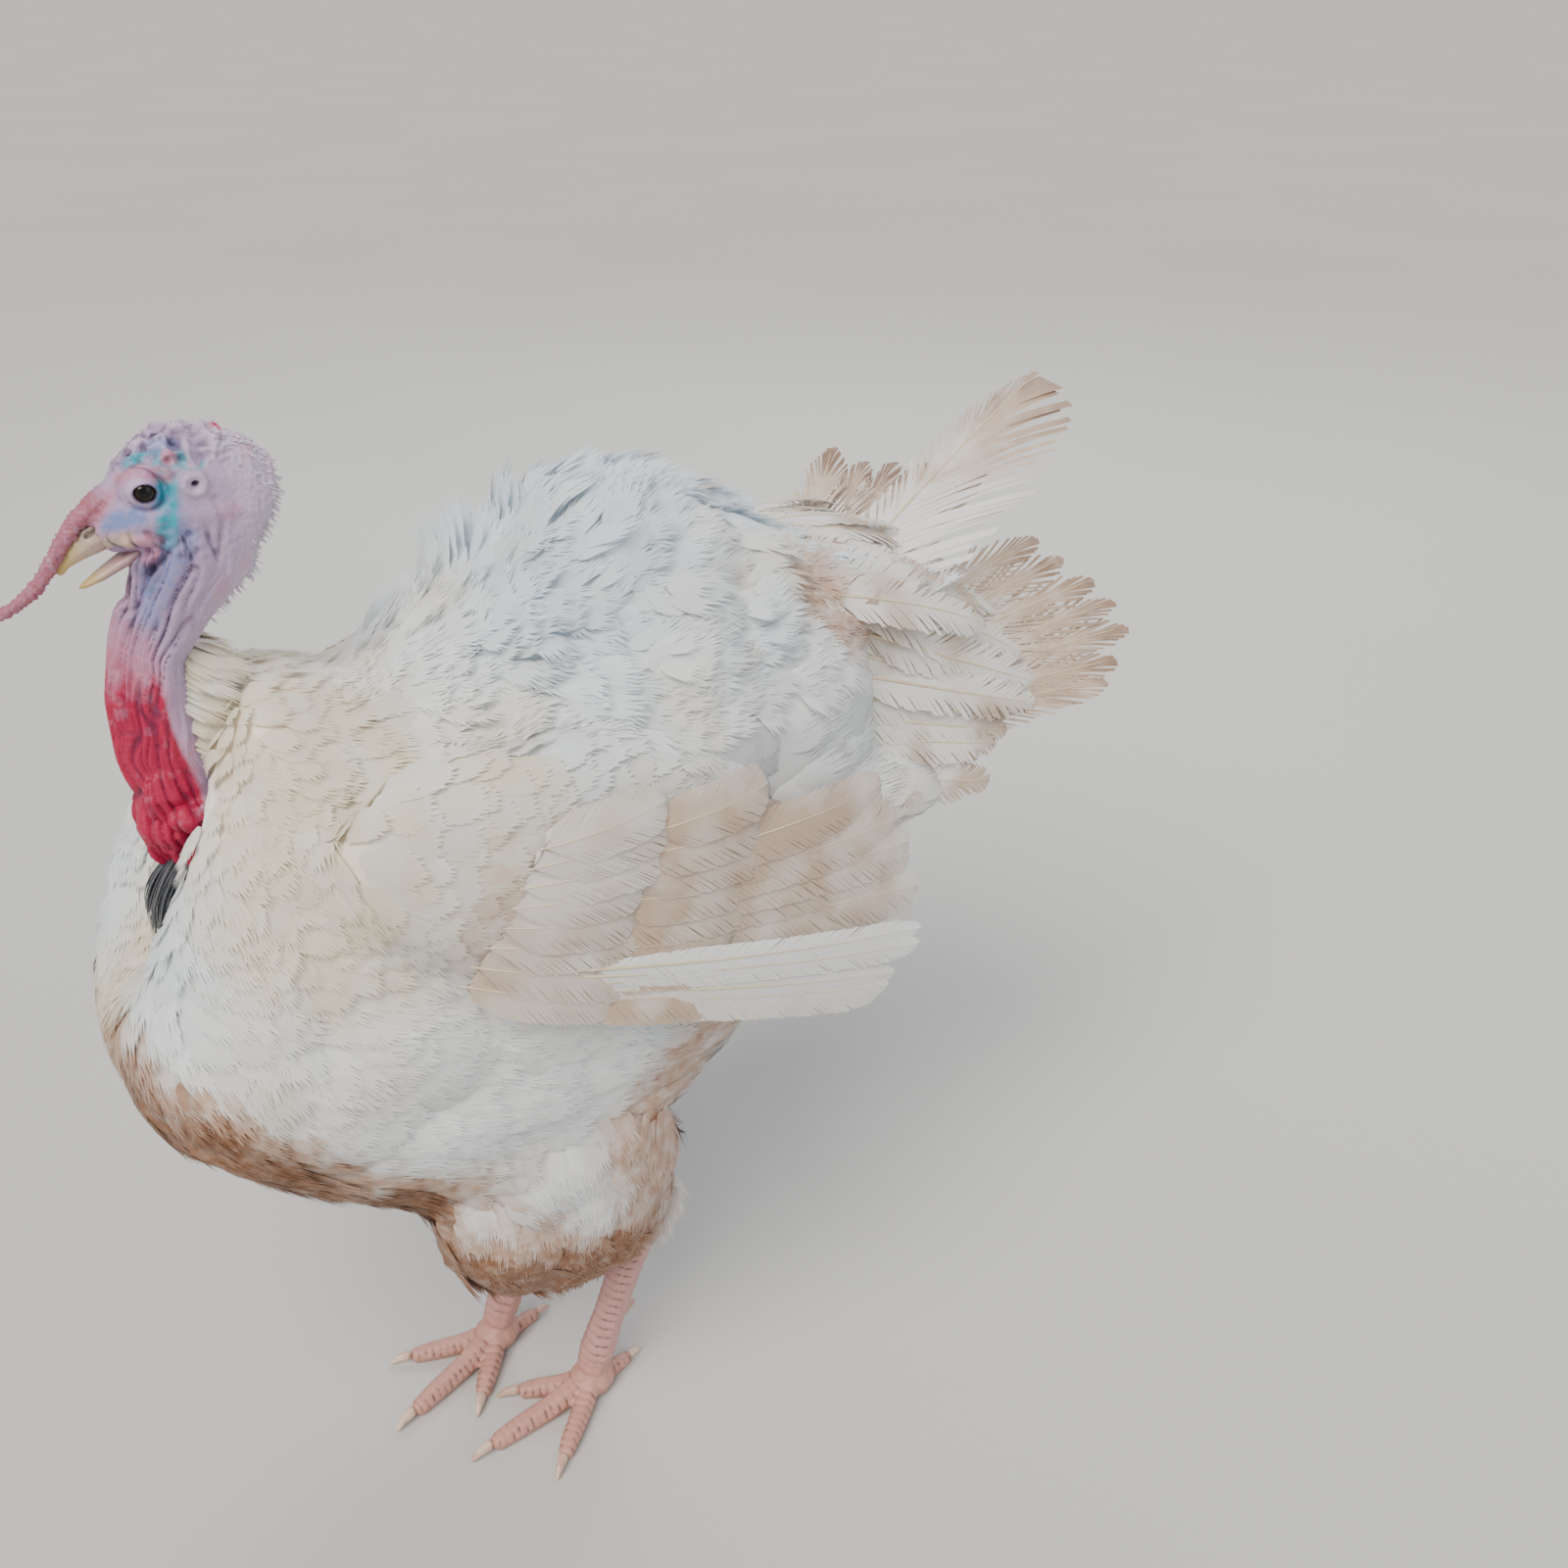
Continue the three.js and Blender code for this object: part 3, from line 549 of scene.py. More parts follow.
def beard_bristle():
    """Coarse keratin bristles, black with a blue lustre where light runs along them."""
    material, tree = blank("keratin_bristle_coarse")
    tint = add(tree, "Attribute", attribute_name="tint").outputs["Fac"]
    colour = add(tree, "Mix", {0: tint, 6: linear("#0b0d12"), 7: linear("#2b3440")}, data_type="RGBA")
    shader = add(tree, "BsdfPrincipled", {
        "Base Color": colour.outputs[2], "Roughness": 0.34, "IOR": 1.54, "Sheen Weight": 0.3,
    })
    finish_material(tree, shader)
    return material


def floor_paint():
    """A painted studio floor: pale, even and matt, with only a breath of unevenness."""
    material, tree = blank("studio_paint_rolled")
    place = add(tree, "TexCoord").outputs["Object"]
    cloud = add(tree, "TexNoise", {"Vector": place, "Scale": 1.2, "Detail": 2.0})
    colour = add(tree, "Mix", {
        0: cloud.outputs["Fac"], 6: linear("#bab9b6"), 7: linear("#c2c1be"),
    }, data_type="RGBA")
    shader = add(tree, "BsdfPrincipled", {"Base Color": colour.outputs[2], "Roughness": 0.8})
    finish_material(tree, shader)
    return material


# ---------------------------------------------------------------- markings and painted light and shade shared by skin and coat

BELLY_LINE = np.array([
    [-204, 334], [-160, 290], [-98, 236], [-60, 206], [20, 186], [60, 194], [140, 244], [220, 340],
    [268, 440],
], float)  # y and z of the trunk's underside


def marks_and_painted_light(points):
    """How much of each colour the plumage has at these places, 0 to 1: stains and random tone, with painted
    shade in the cream and in the tan before the wing, and a painted skylight in the cool blue.
    """
    side = np.abs(points[:, 0])
    y, z = points[:, 1], points[:, 2]
    under = z - np.interp(y, BELLY_LINE[:, 0], BELLY_LINE[:, 1])
    wander = noise(points, 42, 3) * 24 + noise(points, 14, 4) * 14
    line = np.interp(y, [-200, -110, -40, 40, 120], [74, 66, 34, 46, 30])
    dirt = ease(under + wander, line, line - 24) * ease(y, 110, 40)
    tan = ease(under + wander, line + 26, line - 6) * ease(y, 135, 55)
    mirrored = np.c_[side, y, z]
    flank = near_line(mirrored, [(100, 84, 236), (116, 66, 286), (112, 112, 330)], 52)
    tan = np.maximum(tan, flank * ease(noise(points, 24, 7), -0.75, 0.1) * 0.95)
    dirt = np.maximum(dirt, near_line(mirrored, [(84, 14, 180), (94, 44, 186)], 36)
                      * ease(noise(points, 20, 8), -0.3, 0.5) * 0.8)
    tan = np.maximum(tan, near_line(points, [(52, 205, 566), (60, 262, 520)], 34) * 0.9)
    # The tan before the wing is painted shade where the flank feathers lap over the wing's front.
    tan = np.maximum(tan, near_line(mirrored, [(136, -40, 474), (142, -16, 420)], 36) * 0.5)
    spots = ease(noise(points, 15, 9), 0.5, 0.72) * ease(y, 90, 150)
    tan = np.maximum(tan, spots * 0.7)
    # The cream is partly painted shade, on the front below the neck, before the wing and down the breast's
    # middle, and partly random cream tone in patches.
    cream_tone_and_painted_shade = near_line(mirrored, [(30, -112, 560), (70, -86, 540), (96, -96, 470)], 74)
    cream_tone_and_painted_shade = np.maximum(cream_tone_and_painted_shade, near_line(mirrored, [(134, -30, 520), (142, -10, 450)], 46) * 0.9)
    cream_tone_and_painted_shade = np.maximum(cream_tone_and_painted_shade, ease(noise(points, 48, 11), 0.1, 0.7) * 0.45)
    cream_tone_and_painted_shade = np.maximum(cream_tone_and_painted_shade, ease(side, 55, 20) * ease(y, -120, -160) * 0.8)
    # The cool blue is partly a painted skylight on the top of the back and partly random cool tone in
    # patches.
    cool_tone_and_painted_skylight = ease(z, 500, 590) * ease(y, -40, 40)
    cool_tone_and_painted_skylight = np.maximum(cool_tone_and_painted_skylight, ease(noise(points, 60, 12), -0.1, 0.6) * 0.6) * (1 - cream_tone_and_painted_shade * 0.8)
    return {"cool_tone_and_painted_skylight": cool_tone_and_painted_skylight, "cream_tone_and_painted_shade": cream_tone_and_painted_shade, "tan": tan, "dirt": dirt}


# ---------------------------------------------------------------- skin

BODY_GRAIN = 6.0  # spacing of the skin's points in mm under the coat
HEAD_GRAIN = 1.0
LEG_GRAIN = 1.45
COAT_DEPTH = {"trunk": 9.0, "thigh": 8.0, "wing": 6.5, "coverts": 7.0}  # from the coat's top down to the skin
HUMP_DEPTH = 15.0  # the same where the back is ruffled
THIN_COAT = (225.0, 170.0)  # heights on the thigh between which the coat thins towards the hock
CONE_START = 262.0  # y behind which the cones of the tail's coverts are drawn in
CONE_LENGTH = 0.55  # what is left of their length there
LAST_ROOT = 298.0  # y of the hindmost feather roots on them
RUMP_HEIGHT = 470.0  # rump above this height, vent below it
FLESH = {
    "trunk": ["trunk"],
    "thigh": ["thigh_left", "thigh_right"],
    "wing": ["wing_left", "wing_right"],
    "coverts": ["tail_coverts_upper", "tail_coverts_lower"],
}
HEAD_FLESH = ["head", "neck", "snood", "ear_left", "ear_right", "caruncles_middle", "caruncles_left",
              "caruncles_right"]
EYES = ["eye_left", "eye_right"]
LEG_REACH = 21.0  # how far from the middle of a shank or toe its scales reach
LEG_TOP = 175.0  # and how high up
LEG_FLESH = [f"{part}_{side}" for side in SIDES for part in ["shank"] + ["toe_" + t for t in TOE_NAMES]]


def surface_tree(nodes):
    """A search tree over the faces of some frame nodes."""
    points, faces = [], []
    for node in nodes:
        mesh = NODES[node].data
        faces.append(triangles_of(mesh) + sum(len(p) for p in points))
        points.append(points_of(mesh))
    return BVHTree.FromPolygons(np.concatenate(points).tolist(), np.concatenate(faces).tolist())


def distances(tree, points):
    """How far each point is from the faces of a search tree, in mm."""
    return np.array([tree.find_nearest(p)[3] or 0.0 for p in points.tolist()])


def coated_body():
    """The body under the plumage, drawn in by the coat's depth, and that depth at each point."""
    body = fine_solid("skin", sum(FLESH.values(), []), BODY_GRAIN, 6, grow=1.2)
    points, normals = points_of(body.data), normals_of(body.data)
    groups = list(FLESH)
    away = np.stack([distances(surface_tree(FLESH[g]), points) for g in groups], axis=1)
    nearness = np.exp(-away / 6)
    depth = nearness @ np.array([COAT_DEPTH[g] for g in groups]) / nearness.sum(axis=1)
    hump = ease(points[:, 1], -30, 30) * ease(points[:, 2], 500, 560) * ease(points[:, 1], 250, 200)
    depth += hump * (HUMP_DEPTH - COAT_DEPTH["trunk"])
    depth *= 1 - 0.6 * ease(points[:, 2], *THIN_COAT)
    inside = BVHTree.FromPolygons(points.tolist(), triangles_of(body.data).tolist())
    thick = np.empty(len(points))
    for i, (point, normal) in enumerate(zip(points.tolist(), normals)):
        inward = Vector(-normal)
        found = inside.ray_cast(Vector(point) + inward * 0.5, inward)
        thick[i] = found[3] if found[3] else 100.0
    depth = np.minimum(depth, thick * 0.3)
    move_points(body.data, points - normals * depth[:, None])
    set_value(body.data, "depth", depth)
    # The covert cones end early; the feathers on them reach the cones' full length.
    points = points_of(body.data)
    behind = (points[:, 1] > CONE_START) & (np.abs(points[:, 0]) < 75)
    drawn_in = CONE_START + (points[:, 1] - CONE_START) * CONE_LENGTH
    points[:, 1] = np.where(behind, drawn_in, points[:, 1])
    move_points(body.data, points)
    return modified(body, "SMOOTH", factor=0.5, iterations=5)


def neck_frame(points):
    """For points on head and neck: height along the axis in mm, angle from the throat, distance from it."""
    flat = points[:, 1:]
    best, along, ahead = np.full(len(points), 1e9), np.zeros(len(points)), np.zeros(len(points))
    start = 0.0
    for a, b in zip(NECK_AXIS[:-1], NECK_AXIS[1:]):
        run = b - a
        length = np.linalg.norm(run)
        t = np.clip((flat - a) @ run / length**2, 0, 1)
        off = flat - a - t[:, None] * run
        distance = np.linalg.norm(off, axis=1)
        closer = distance < best
        best = np.where(closer, distance, best)
        along = np.where(closer, start + t * length, along)
        ahead = np.where(closer, off @ np.array([-run[1], run[0]]) / length, ahead)
        start += length
    return along, np.arctan2(points[:, 0], ahead), np.hypot(points[:, 0], best)


def refine_near(mesh, centres, radius):
    """Splits the faces close to some places, so that lids and ear rims have enough points."""
    fine = bmesh.new()
    fine.from_mesh(mesh)
    spots = [Vector(c) for c in to_frame(centres)]
    edges = [e for e in fine.edges if any((e.verts[0].co - s).length < radius * MM for s in spots)]
    bmesh.ops.subdivide_edges(fine, edges=edges, cuts=1, use_grid_fill=True)
    bmesh.ops.triangulate(fine, faces=[f for f in fine.faces if len(f.verts) > 4])
    fine.to_mesh(mesh)
    fine.free()
    mesh.update()


def sculpt_head(points, normals):
    """Folds, lids, ears, crown and wattles. Gives the moved points and how much of each colour they have."""
    mirrored = np.c_[np.abs(points[:, 0]), points[:, 1:]]
    y, z = mirrored[:, 1], mirrored[:, 2]
    along, angle, _ = neck_frame(points)
    turn = np.abs(angle)
    snood_away, snood_along = to_line(points, SNOOD_AXIS)
    bare = distances(BARE_TREE, points) < 2.6
    on_snood = ease(snood_away, 11, 7.5) * ease(snood_along, 4, 16)
    front = ease(turn, 2.2, 1.3) * (1 - on_snood)
    on_neck = ease(z, 652, 628) * (1 - on_snood)
    head = ease(z, 622, 640) * (1 - on_snood)

    # lengthwise folds of the neck, winding a little, deeper at the throat
    girth = np.c_[angle * 22 + noise(points, 16, 21) * 3.2, along, np.zeros(len(points))]
    low = ease(z, 610, 584)
    creases = np.maximum(ridges(girth / (4.4, 46, 1), 1.0, 22), ridges(girth / (3.1, 30, 1), 1.0, 23) * 0.8)
    folds = 1 - creases
    lift = (folds - 0.55) * (0.5 + (3.0 + 0.8 * low) * front) * on_neck
    lumps = pebbles(points * (1, 1, 0.5), 9.5, 24)
    wattled = ease(z, 540, 505) * ease(turn, 2.4, 1.5)
    lift += (lumps - 0.4) * 1.3 * wattled
    lift -= 3.6 * near_line(mirrored, [(0, -147, 616), (12, -143, 615)], 15)

    # papillae behind, pebbles on the cheeks, curled bumps on the crown
    crown = ease(z, 667, 681) * ease(y, -82, -92) * ease(y, -150, -136) * head
    nape = ease(turn, 1.7, 2.5) * ease(z, 585, 625)
    lift += (pebbles(points, 2.6, 25) - 0.4) * (0.3 + 1.0 * nape + 0.4 * crown - 0.15 * low) * (1 - on_snood)
    lift += (ridges(points, 4.6, 26) * 4.2 - 1.4) * crown
    lift += noise(points, 9, 27) * 0.5 * head

    # brow, cheek fold, fleshy corner of the gape, furrow before the ear
    brow = [(11, -138, 671), (15, -127, 673.5), (20, -117, 671)]
    lift += 1.6 * near_line(mirrored, brow, 3.4) + 0.5 * near_line(mirrored, brow, 6)
    gape_corner = [(14, -138, 640), (18, -128, 641), (17, -124, 633), (14, -131, 628)]
    lift += 2.0 * near_line(mirrored, gape_corner, 4.2)
    lift -= 1.3 * near_line(mirrored, [(24, -98, 657), (24, -96, 646), (23, -98, 637)], 2.6)
    lift -= 1.1 * near_line(mirrored, [(22, -118, 655), (22, -121, 646)], 3.2)
    for fold in THROAT_FOLDS:
        lift -= 1.7 * near_line(mirrored, fold, 2.8)
        lift += 0.9 * near_line(mirrored, np.add(fold, (0, 3.4, 3.4)), 3.0)

    # the snood is ringed by fine cross folds
    rings = np.sin(snood_along * 2 * math.pi / 2.6 + noise(points, 4, 28) * 4.5)
    lift += (rings * 0.4 + noise(points, 1.8, 29) * 0.6 + noise(points, 7, 30) * 0.6 - 0.3) * on_snood

    moved = points + normals * (lift * bare)[:, None]
    moved = open_lids(moved, mirrored)
    moved = sink_ear(moved, mirrored)

    colours = head_colours(points, mirrored, turn, on_snood, crown, nape, folds)
    colours["bare"] = bare.astype(float)
    return moved, colours


def open_lids(moved, mirrored):
    """Draws the skin back between the lids and lays a rounded lid edge over the eyeball."""
    out, y, z = mirrored.T
    dy, dz = y - EYE_CENTRE[1], z - EYE_CENTRE[2]
    u, v = -0.98 * dy + 0.2 * dz, 0.2 * dy + 0.98 * dz
    r = np.hypot(u / EYE_OPENING[0], v / EYE_OPENING[1])
    facing = (r < 3.4) & (out > 8)
    ball = EYE_CENTRE[0] + np.sqrt(np.maximum(EYE_RADIUS**2 - dy**2 - dz**2, 0.04))
    own = np.abs(moved[:, 0])
    wrinkle = 0.22 * np.cos((r - 1.35) * 2 * math.pi / 0.42) * ease(r, 1.3, 1.5) * ease(r, 2.6, 1.9)
    lid = ball + 1.05 - 0.5 * ease(r, 1.25, 1.6)
    reach = np.where(r < 1.0, ball - 2.4, lid)
    blend = ease(r, 2.7, 1.35)
    target = own * (1 - blend) + reach * blend + wrinkle
    moved[:, 0] = np.where(facing, np.sign(moved[:, 0]) * target, moved[:, 0])
    return moved


def sink_ear(moved, mirrored):
    """A small round hole in the middle of a smooth raised disc."""
    dy, dz = mirrored[:, 1] - EAR_CENTRE[1], mirrored[:, 2] - EAR_CENTRE[2]
    r = np.hypot(dy, dz)
    hole = np.hypot(dy - 0.6, (dz - 0.4) * 1.25) + noise(moved, 1.6, 30) * 0.5
    on_side = mirrored[:, 0] > 12
    rise = 0.6 * ease(r, 7.2, 5.0) - 0.5 * ease(r, 4.6, 2.4) - 3.2 * ease(hole, 1.9, 0.9)
    moved[:, 0] += np.sign(moved[:, 0]) * rise * on_side
    return moved


THROAT_FOLDS = [
    [(22, -112, 642), (18, -126, 629), (12, -139, 613), (8, -145, 596)],
    [(23, -110, 634), (19, -126, 617), (13, -142, 598)],
    [(23, -106, 630), (21, -121, 610), (17, -137, 590)],
    [(19, -124, 634), (14, -134, 622), (7, -142, 606)],
]
RED_EDGE = np.array([
    [480, -134], [496, -133], [510, -130], [524, -133], [540, -135], [557, -138], [574, -141], [600, -144],
], float)  # z and y of the line behind which the neck is lilac


BLUE_PLACES = [  # line, radius, amount: before the eye, throat, crown's edge, behind the eye
    ([(13, -146, 650), (17, -137, 652), (19, -132, 653)], 6.5, 1.0),
    ([(20, -116, 640), (18, -126, 626), (15, -138, 606)], 13, 0.75),
    ([(9, -136, 678), (12, -130, 682), (14, -112, 684)], 8, 0.7),
    ([(20, -120, 664), (21, -118, 646)], 11, 0.6),
]


def head_colours(points, mirrored, turn, on_snood, crown, nape, folds):
    """How much of each colour the bare skin has at these places, 0 to 1; the darkest colour is painted shade.
    """
    x, y, z = mirrored.T
    hollow = ease(folds, 0.42, 0.08)
    ragged = noise(points * (1, 1, 0.4), 6, 31) * 10 + noise(points, 4, 32) * 4
    edge = np.interp(z, RED_EDGE[:, 0], RED_EDGE[:, 1]) + noise(points * (1, 1, 0.3), 5, 33) * 3.5
    before = ease(y, edge + 3, edge - 3)
    red = ease(z + ragged, 590, 548) * before
    red = np.maximum(red, ease(z, 506, 498) * ease(y, -112, -122))
    rosy = ease(z + ragged, 624, 586) * ease(y, edge + 9, edge - 2)
    brow = near_line(mirrored, [(11, -138, 670), (15, -127, 672), (20, -117, 670)], 6)
    lobe = near_line(mirrored, [(14, -138, 640), (18, -127, 640), (15, -130, 630)], 6)
    cere = near_line(mirrored, [(8, -140, 660), (7, -150, 651), (5, -160, 644)], 7)
    blot = ease(noise(points, 13, 35), 0.15, 0.6) * ease(turn, 1.5, 2.0) * 0.4
    over_eye = near(mirrored, (17, -114, 677), 5)
    pink = np.max([rosy * 0.8, brow * 0.75, lobe * 0.8, cere * 0.7, over_eye, blot], axis=0)
    strip = near_line(mirrored, [(20, -117, 668), (22, -119, 657), (22, -121, 648), (20, -122, 640)], 6.8)
    band = near_line(mirrored, [(9, -132, 677), (17, -120, 677), (19, -108, 676), (20, -102, 675)], 6.5)
    broken = ease(noise(points, 5.5, 37) + 0.4 * noise(points, 2.4, 38), -0.45, 0.15)
    turquoise = np.maximum(strip * (0.6 + 0.4 * broken), band * 0.85 * broken)
    turquoise = turquoise * (1 - near(mirrored, (17, -114, 677), 4.5) * 0.8)
    blues = [near_line(mirrored, line, radius) * amount for line, radius, amount in BLUE_PLACES]
    blue = np.max(blues, axis=0)
    ring = near(mirrored, EAR_CENTRE, 9)
    pale = np.maximum(nape * 0.5, ring * 0.34)
    pale = np.maximum(pale, ease(ridges(points, 4.6, 26), 0.55, 0.9) * crown * 0.6)
    r = np.hypot((y - EYE_CENTRE[1]) / EYE_OPENING[0], (z - EYE_CENTRE[2]) / EYE_OPENING[1])
    pale = np.maximum(pale, ease(np.abs(r - 1.45), 0.3, 0.1) * (x > 8) * 0.3)
    # The darkest colour is painted shade: inside the lid rims and in a crease ring round the eye, over the
    # throat and in its hollows and folds, in the hollows of the red, in the ear hole, on the front of the
    # crown and in its furrows, under the gape and along its line.
    painted_shade = ease(r, 1.28, 1.05) * (x > 8) + ease(np.abs(r - 2.15), 0.25, 0.05) * (x > 8) * 0.35
    shaded = ease(turn, 2.0, 1.5) * ease(z, 575, 606) * ease(z, 650, 636)
    painted_shade = painted_shade + (0.16 + hollow * 0.9) * shaded
    for fold in THROAT_FOLDS:
        painted_shade = painted_shade + near_line(mirrored, fold, 2.4) * 0.5
    painted_shade = painted_shade + hollow * red * 0.62
    painted_shade = painted_shade + ease(np.hypot(y - EAR_CENTRE[1] - 0.6, z - EAR_CENTRE[2] - 0.4), 2.0, 1.0) * (x > 12) * 0.5
    painted_shade = painted_shade + ease(noise(points, 3.6, 34), 0.05, 0.45) * crown * ease(y, -96, -116) * 0.8
    painted_shade = painted_shade + ease(ridges(points, 4.6, 26), 0.25, 0.05) * crown * 0.55
    painted_shade = painted_shade + near(mirrored, (16, -134, 623), 13) * 0.22
    painted_shade = painted_shade + near_line(mirrored, [(19, -131, 645), (20, -124, 642), (17, -123, 633)], 2.0) * 0.6
    red = np.maximum(red, near(mirrored, (1, -88, 687), 6) * 0.8)
    red = np.maximum(red, near(mirrored, (19, -130, 644), 2.6) * 0.3)
    jaw = near_line(mirrored, [(3, -160, 637), (8, -148, 641), (14, -138, 642)], 5.5)
    return {
        "rose": on_snood,
        **{key: amount * (1 - on_snood) for key, amount in {
            "crimson": red, "pink": pink, "turquoise": turquoise, "blue": blue, "pale": pale,
            "painted_shade": np.clip(painted_shade, 0, 1), "beige": jaw,
        }.items()},
    }


def leg_lines():
    """The middle line of each shank and toe, with the way its scutes face."""
    lines = []
    for side, foot in FEET.items():
        joint, hock = np.array(foot["joint"], float), np.array(foot["hock"], float)
        lines.append({"line": [joint, hock + (hock - joint) * 0.12], "face": (0, -1, 0.25), "step": 6.6})
        for turn, length in TOES.values():
            heading = -foot["heading"] + turn if side == "left" else foot["heading"] + turn
            a = math.radians(heading)
            run = np.array([-foot["outward"] * math.sin(a), -math.cos(a), 0.0])
            start = np.array([joint[0], joint[1], 9.0])
            lines.append({"line": [start, start + run * (length + 24)], "face": (0, 0, 1), "step": 5.2})
    return lines


def sculpt_legs(points, normals):
    """Overlapping scutes down the shank's front and along the toes, and pads under them."""
    lines = leg_lines()
    found = [to_line(points, line["line"]) for line in lines]
    # A shank is thicker than a toe, so its distance counts for less.
    scaled = np.stack([d * (0.75 if line["step"] > 6 else 1.0) for (d, _), line in zip(found, lines)])
    owner = scaled.argmin(axis=0)
    along = np.stack([a for _, a in found])[owner, np.arange(len(points))]
    facing = np.zeros(len(points))
    step = np.ones(len(points))
    for k, line in enumerate(lines):
        mine = owner == k
        facing[mine] = normals[mine] @ unit(np.array(line["face"], float))
        step[mine] = line["step"]
    plate = (along + noise(points, 14, 41) * 1.3) / step
    part = plate - np.floor(plate)
    top = ease(facing, -0.25, 0.35)
    rise = (1 - np.abs(2 * part - 1) ** 4) * 0.85 - 0.3
    grain = pebbles(points, 3.0, 42)
    lift = rise * top + (grain - 0.4) * 0.9 * (1 - top)
    groove = ease(np.abs(2 * part - 1), 0.72, 0.96) * top * ease(facing, 1.02, 0.7)
    meeting = np.min([np.linalg.norm(points - (f["joint"]), axis=1) for f in FEET.values()], axis=0)
    groove = groove * ease(meeting, 12, 20)
    lift[points[:, 2] < 6] = 0
    marks = {"joint": np.clip(groove, 0, 1), "tan_leg": ease(points[:, 2], 60, 10)}
    return points + normals * lift[:, None], marks


def make_skin(body):
    """One closed skin: the body, the finely modelled head and neck, and the legs."""
    # The eyeballs fill their sockets here, so that the lids can be laid over them.
    head = fine_solid("skin_head", HEAD_FLESH + EYES, HEAD_GRAIN, 10, grow=0.35)
    legs = fine_solid("skin_legs", LEG_FLESH, LEG_GRAIN, 3, grow=0.25)
    skin = new_object("skin_whole", body.data.copy())
    joined_solid(skin, head)
    joined_solid(skin, legs)
    skin.name = "skin"
    mesh = skin.data
    mirror = (-1, 1, 1)
    refine_near(mesh, [EYE_CENTRE + (8, 0, 0), (EYE_CENTRE + (8, 0, 0)) * mirror], 9.5)
    refine_near(mesh, [EAR_CENTRE, EAR_CENTRE * mirror], 5.5)
    points, normals = points_of(mesh), normals_of(mesh)
    moved, values = sculpt_head(points, normals)
    bare = values.pop("bare") > 0.5
    near_leg = np.min([to_line(points, line["line"])[0] for line in leg_lines()], axis=0) < LEG_REACH
    legs_only = near_leg & (points[:, 2] < LEG_TOP)
    leg_moved, leg_values = sculpt_legs(points, normals)
    moved = np.where(legs_only[:, None], leg_moved, moved)
    moved[:, 2] = np.maximum(moved[:, 2], 0.0)
    move_points(mesh, moved)
    marks = marks_and_painted_light(points)
    marks["tan"] = np.where(legs_only, leg_values["tan_leg"], marks["tan"])
    values["joint"] = leg_values["joint"]
    for key, value in {**values, **marks}.items():
        if key in mesh.attributes:
            mesh.attributes.remove(mesh.attributes[key])
        set_value(mesh, key, value)
    mesh.materials.clear()
    for material in (BARE_SKIN, COATED_SKIN, LEG_SCALES):
        mesh.materials.append(material)
    corner = np.empty(len(mesh.polygons), np.int32)
    mesh.polygons.foreach_get("loop_start", corner)
    vertex = np.empty(len(mesh.loops), np.int32)
    mesh.loops.foreach_get("vertex_index", vertex)
    number = np.select([bare, legs_only], [0, 2], 1)
    mesh.polygons.foreach_set("material_index", number[vertex[corner]].astype(np.int32))
    mesh.polygons.foreach_set("use_smooth", np.ones(len(mesh.polygons), bool))
    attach(skin, "root")
    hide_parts(*sum(FLESH.values(), []), *HEAD_FLESH, *LEG_FLESH)
    return skin


# ---------------------------------------------------------------- eyes, bill, claws


def dress(piece, material, slot, *replaced):
    """Gives a piece its material, smooth shading and its ride, and hides the frame parts that it stands for;
    the slot is not used.
    """
    piece.data.materials.clear()
    piece.data.materials.append(material)
    piece.data.polygons.foreach_set("use_smooth", np.ones(len(piece.data.polygons), bool))
    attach(piece, "root")
    if replaced:
        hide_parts(*replaced)


def make_eye(side):
    """An eyeball with the cornea standing a little proud of it."""
    outward = SIDES[side]
    ball = bmesh.new()
    bmesh.ops.create_uvsphere(ball, u_segments=56, v_segments=36, radius=1.0)
    mesh = bpy.data.meshes.new("eye_ball_" + side)
    ball.to_mesh(mesh)
    ball.free()
    co = np.empty(len(mesh.vertices) * 3, np.float32)
    mesh.vertices.foreach_get("co", co)
    sphere = unit(co.reshape(-1, 3).astype(float))
    # The sphere's poles are laid along the way the eye looks.
    sphere = np.c_[sphere[:, 2] * outward, sphere[:, 0], sphere[:, 1]]
    ring = np.hypot(sphere[:, 1], sphere[:, 2]) * EYE_RADIUS
    cornea = 0.5 * ease(ring, 5.0, 1.5) * (sphere[:, 0] * outward > 0)
    points = sphere * (EYE_RADIUS + cornea)[:, None] + EYE_CENTRE * (outward, 1, 1)
    move_points(mesh, points)
    set_value(mesh, "from_axis", ring)
    set_value(mesh, "spoke", np.arctan2(sphere[:, 2], sphere[:, 1]) * 36 + noise(points, 1.2, 51) * 4)
    piece = new_object("eye_ball_" + side, mesh)
    dress(piece, LIVING_EYE, "eye", "eye_" + side)


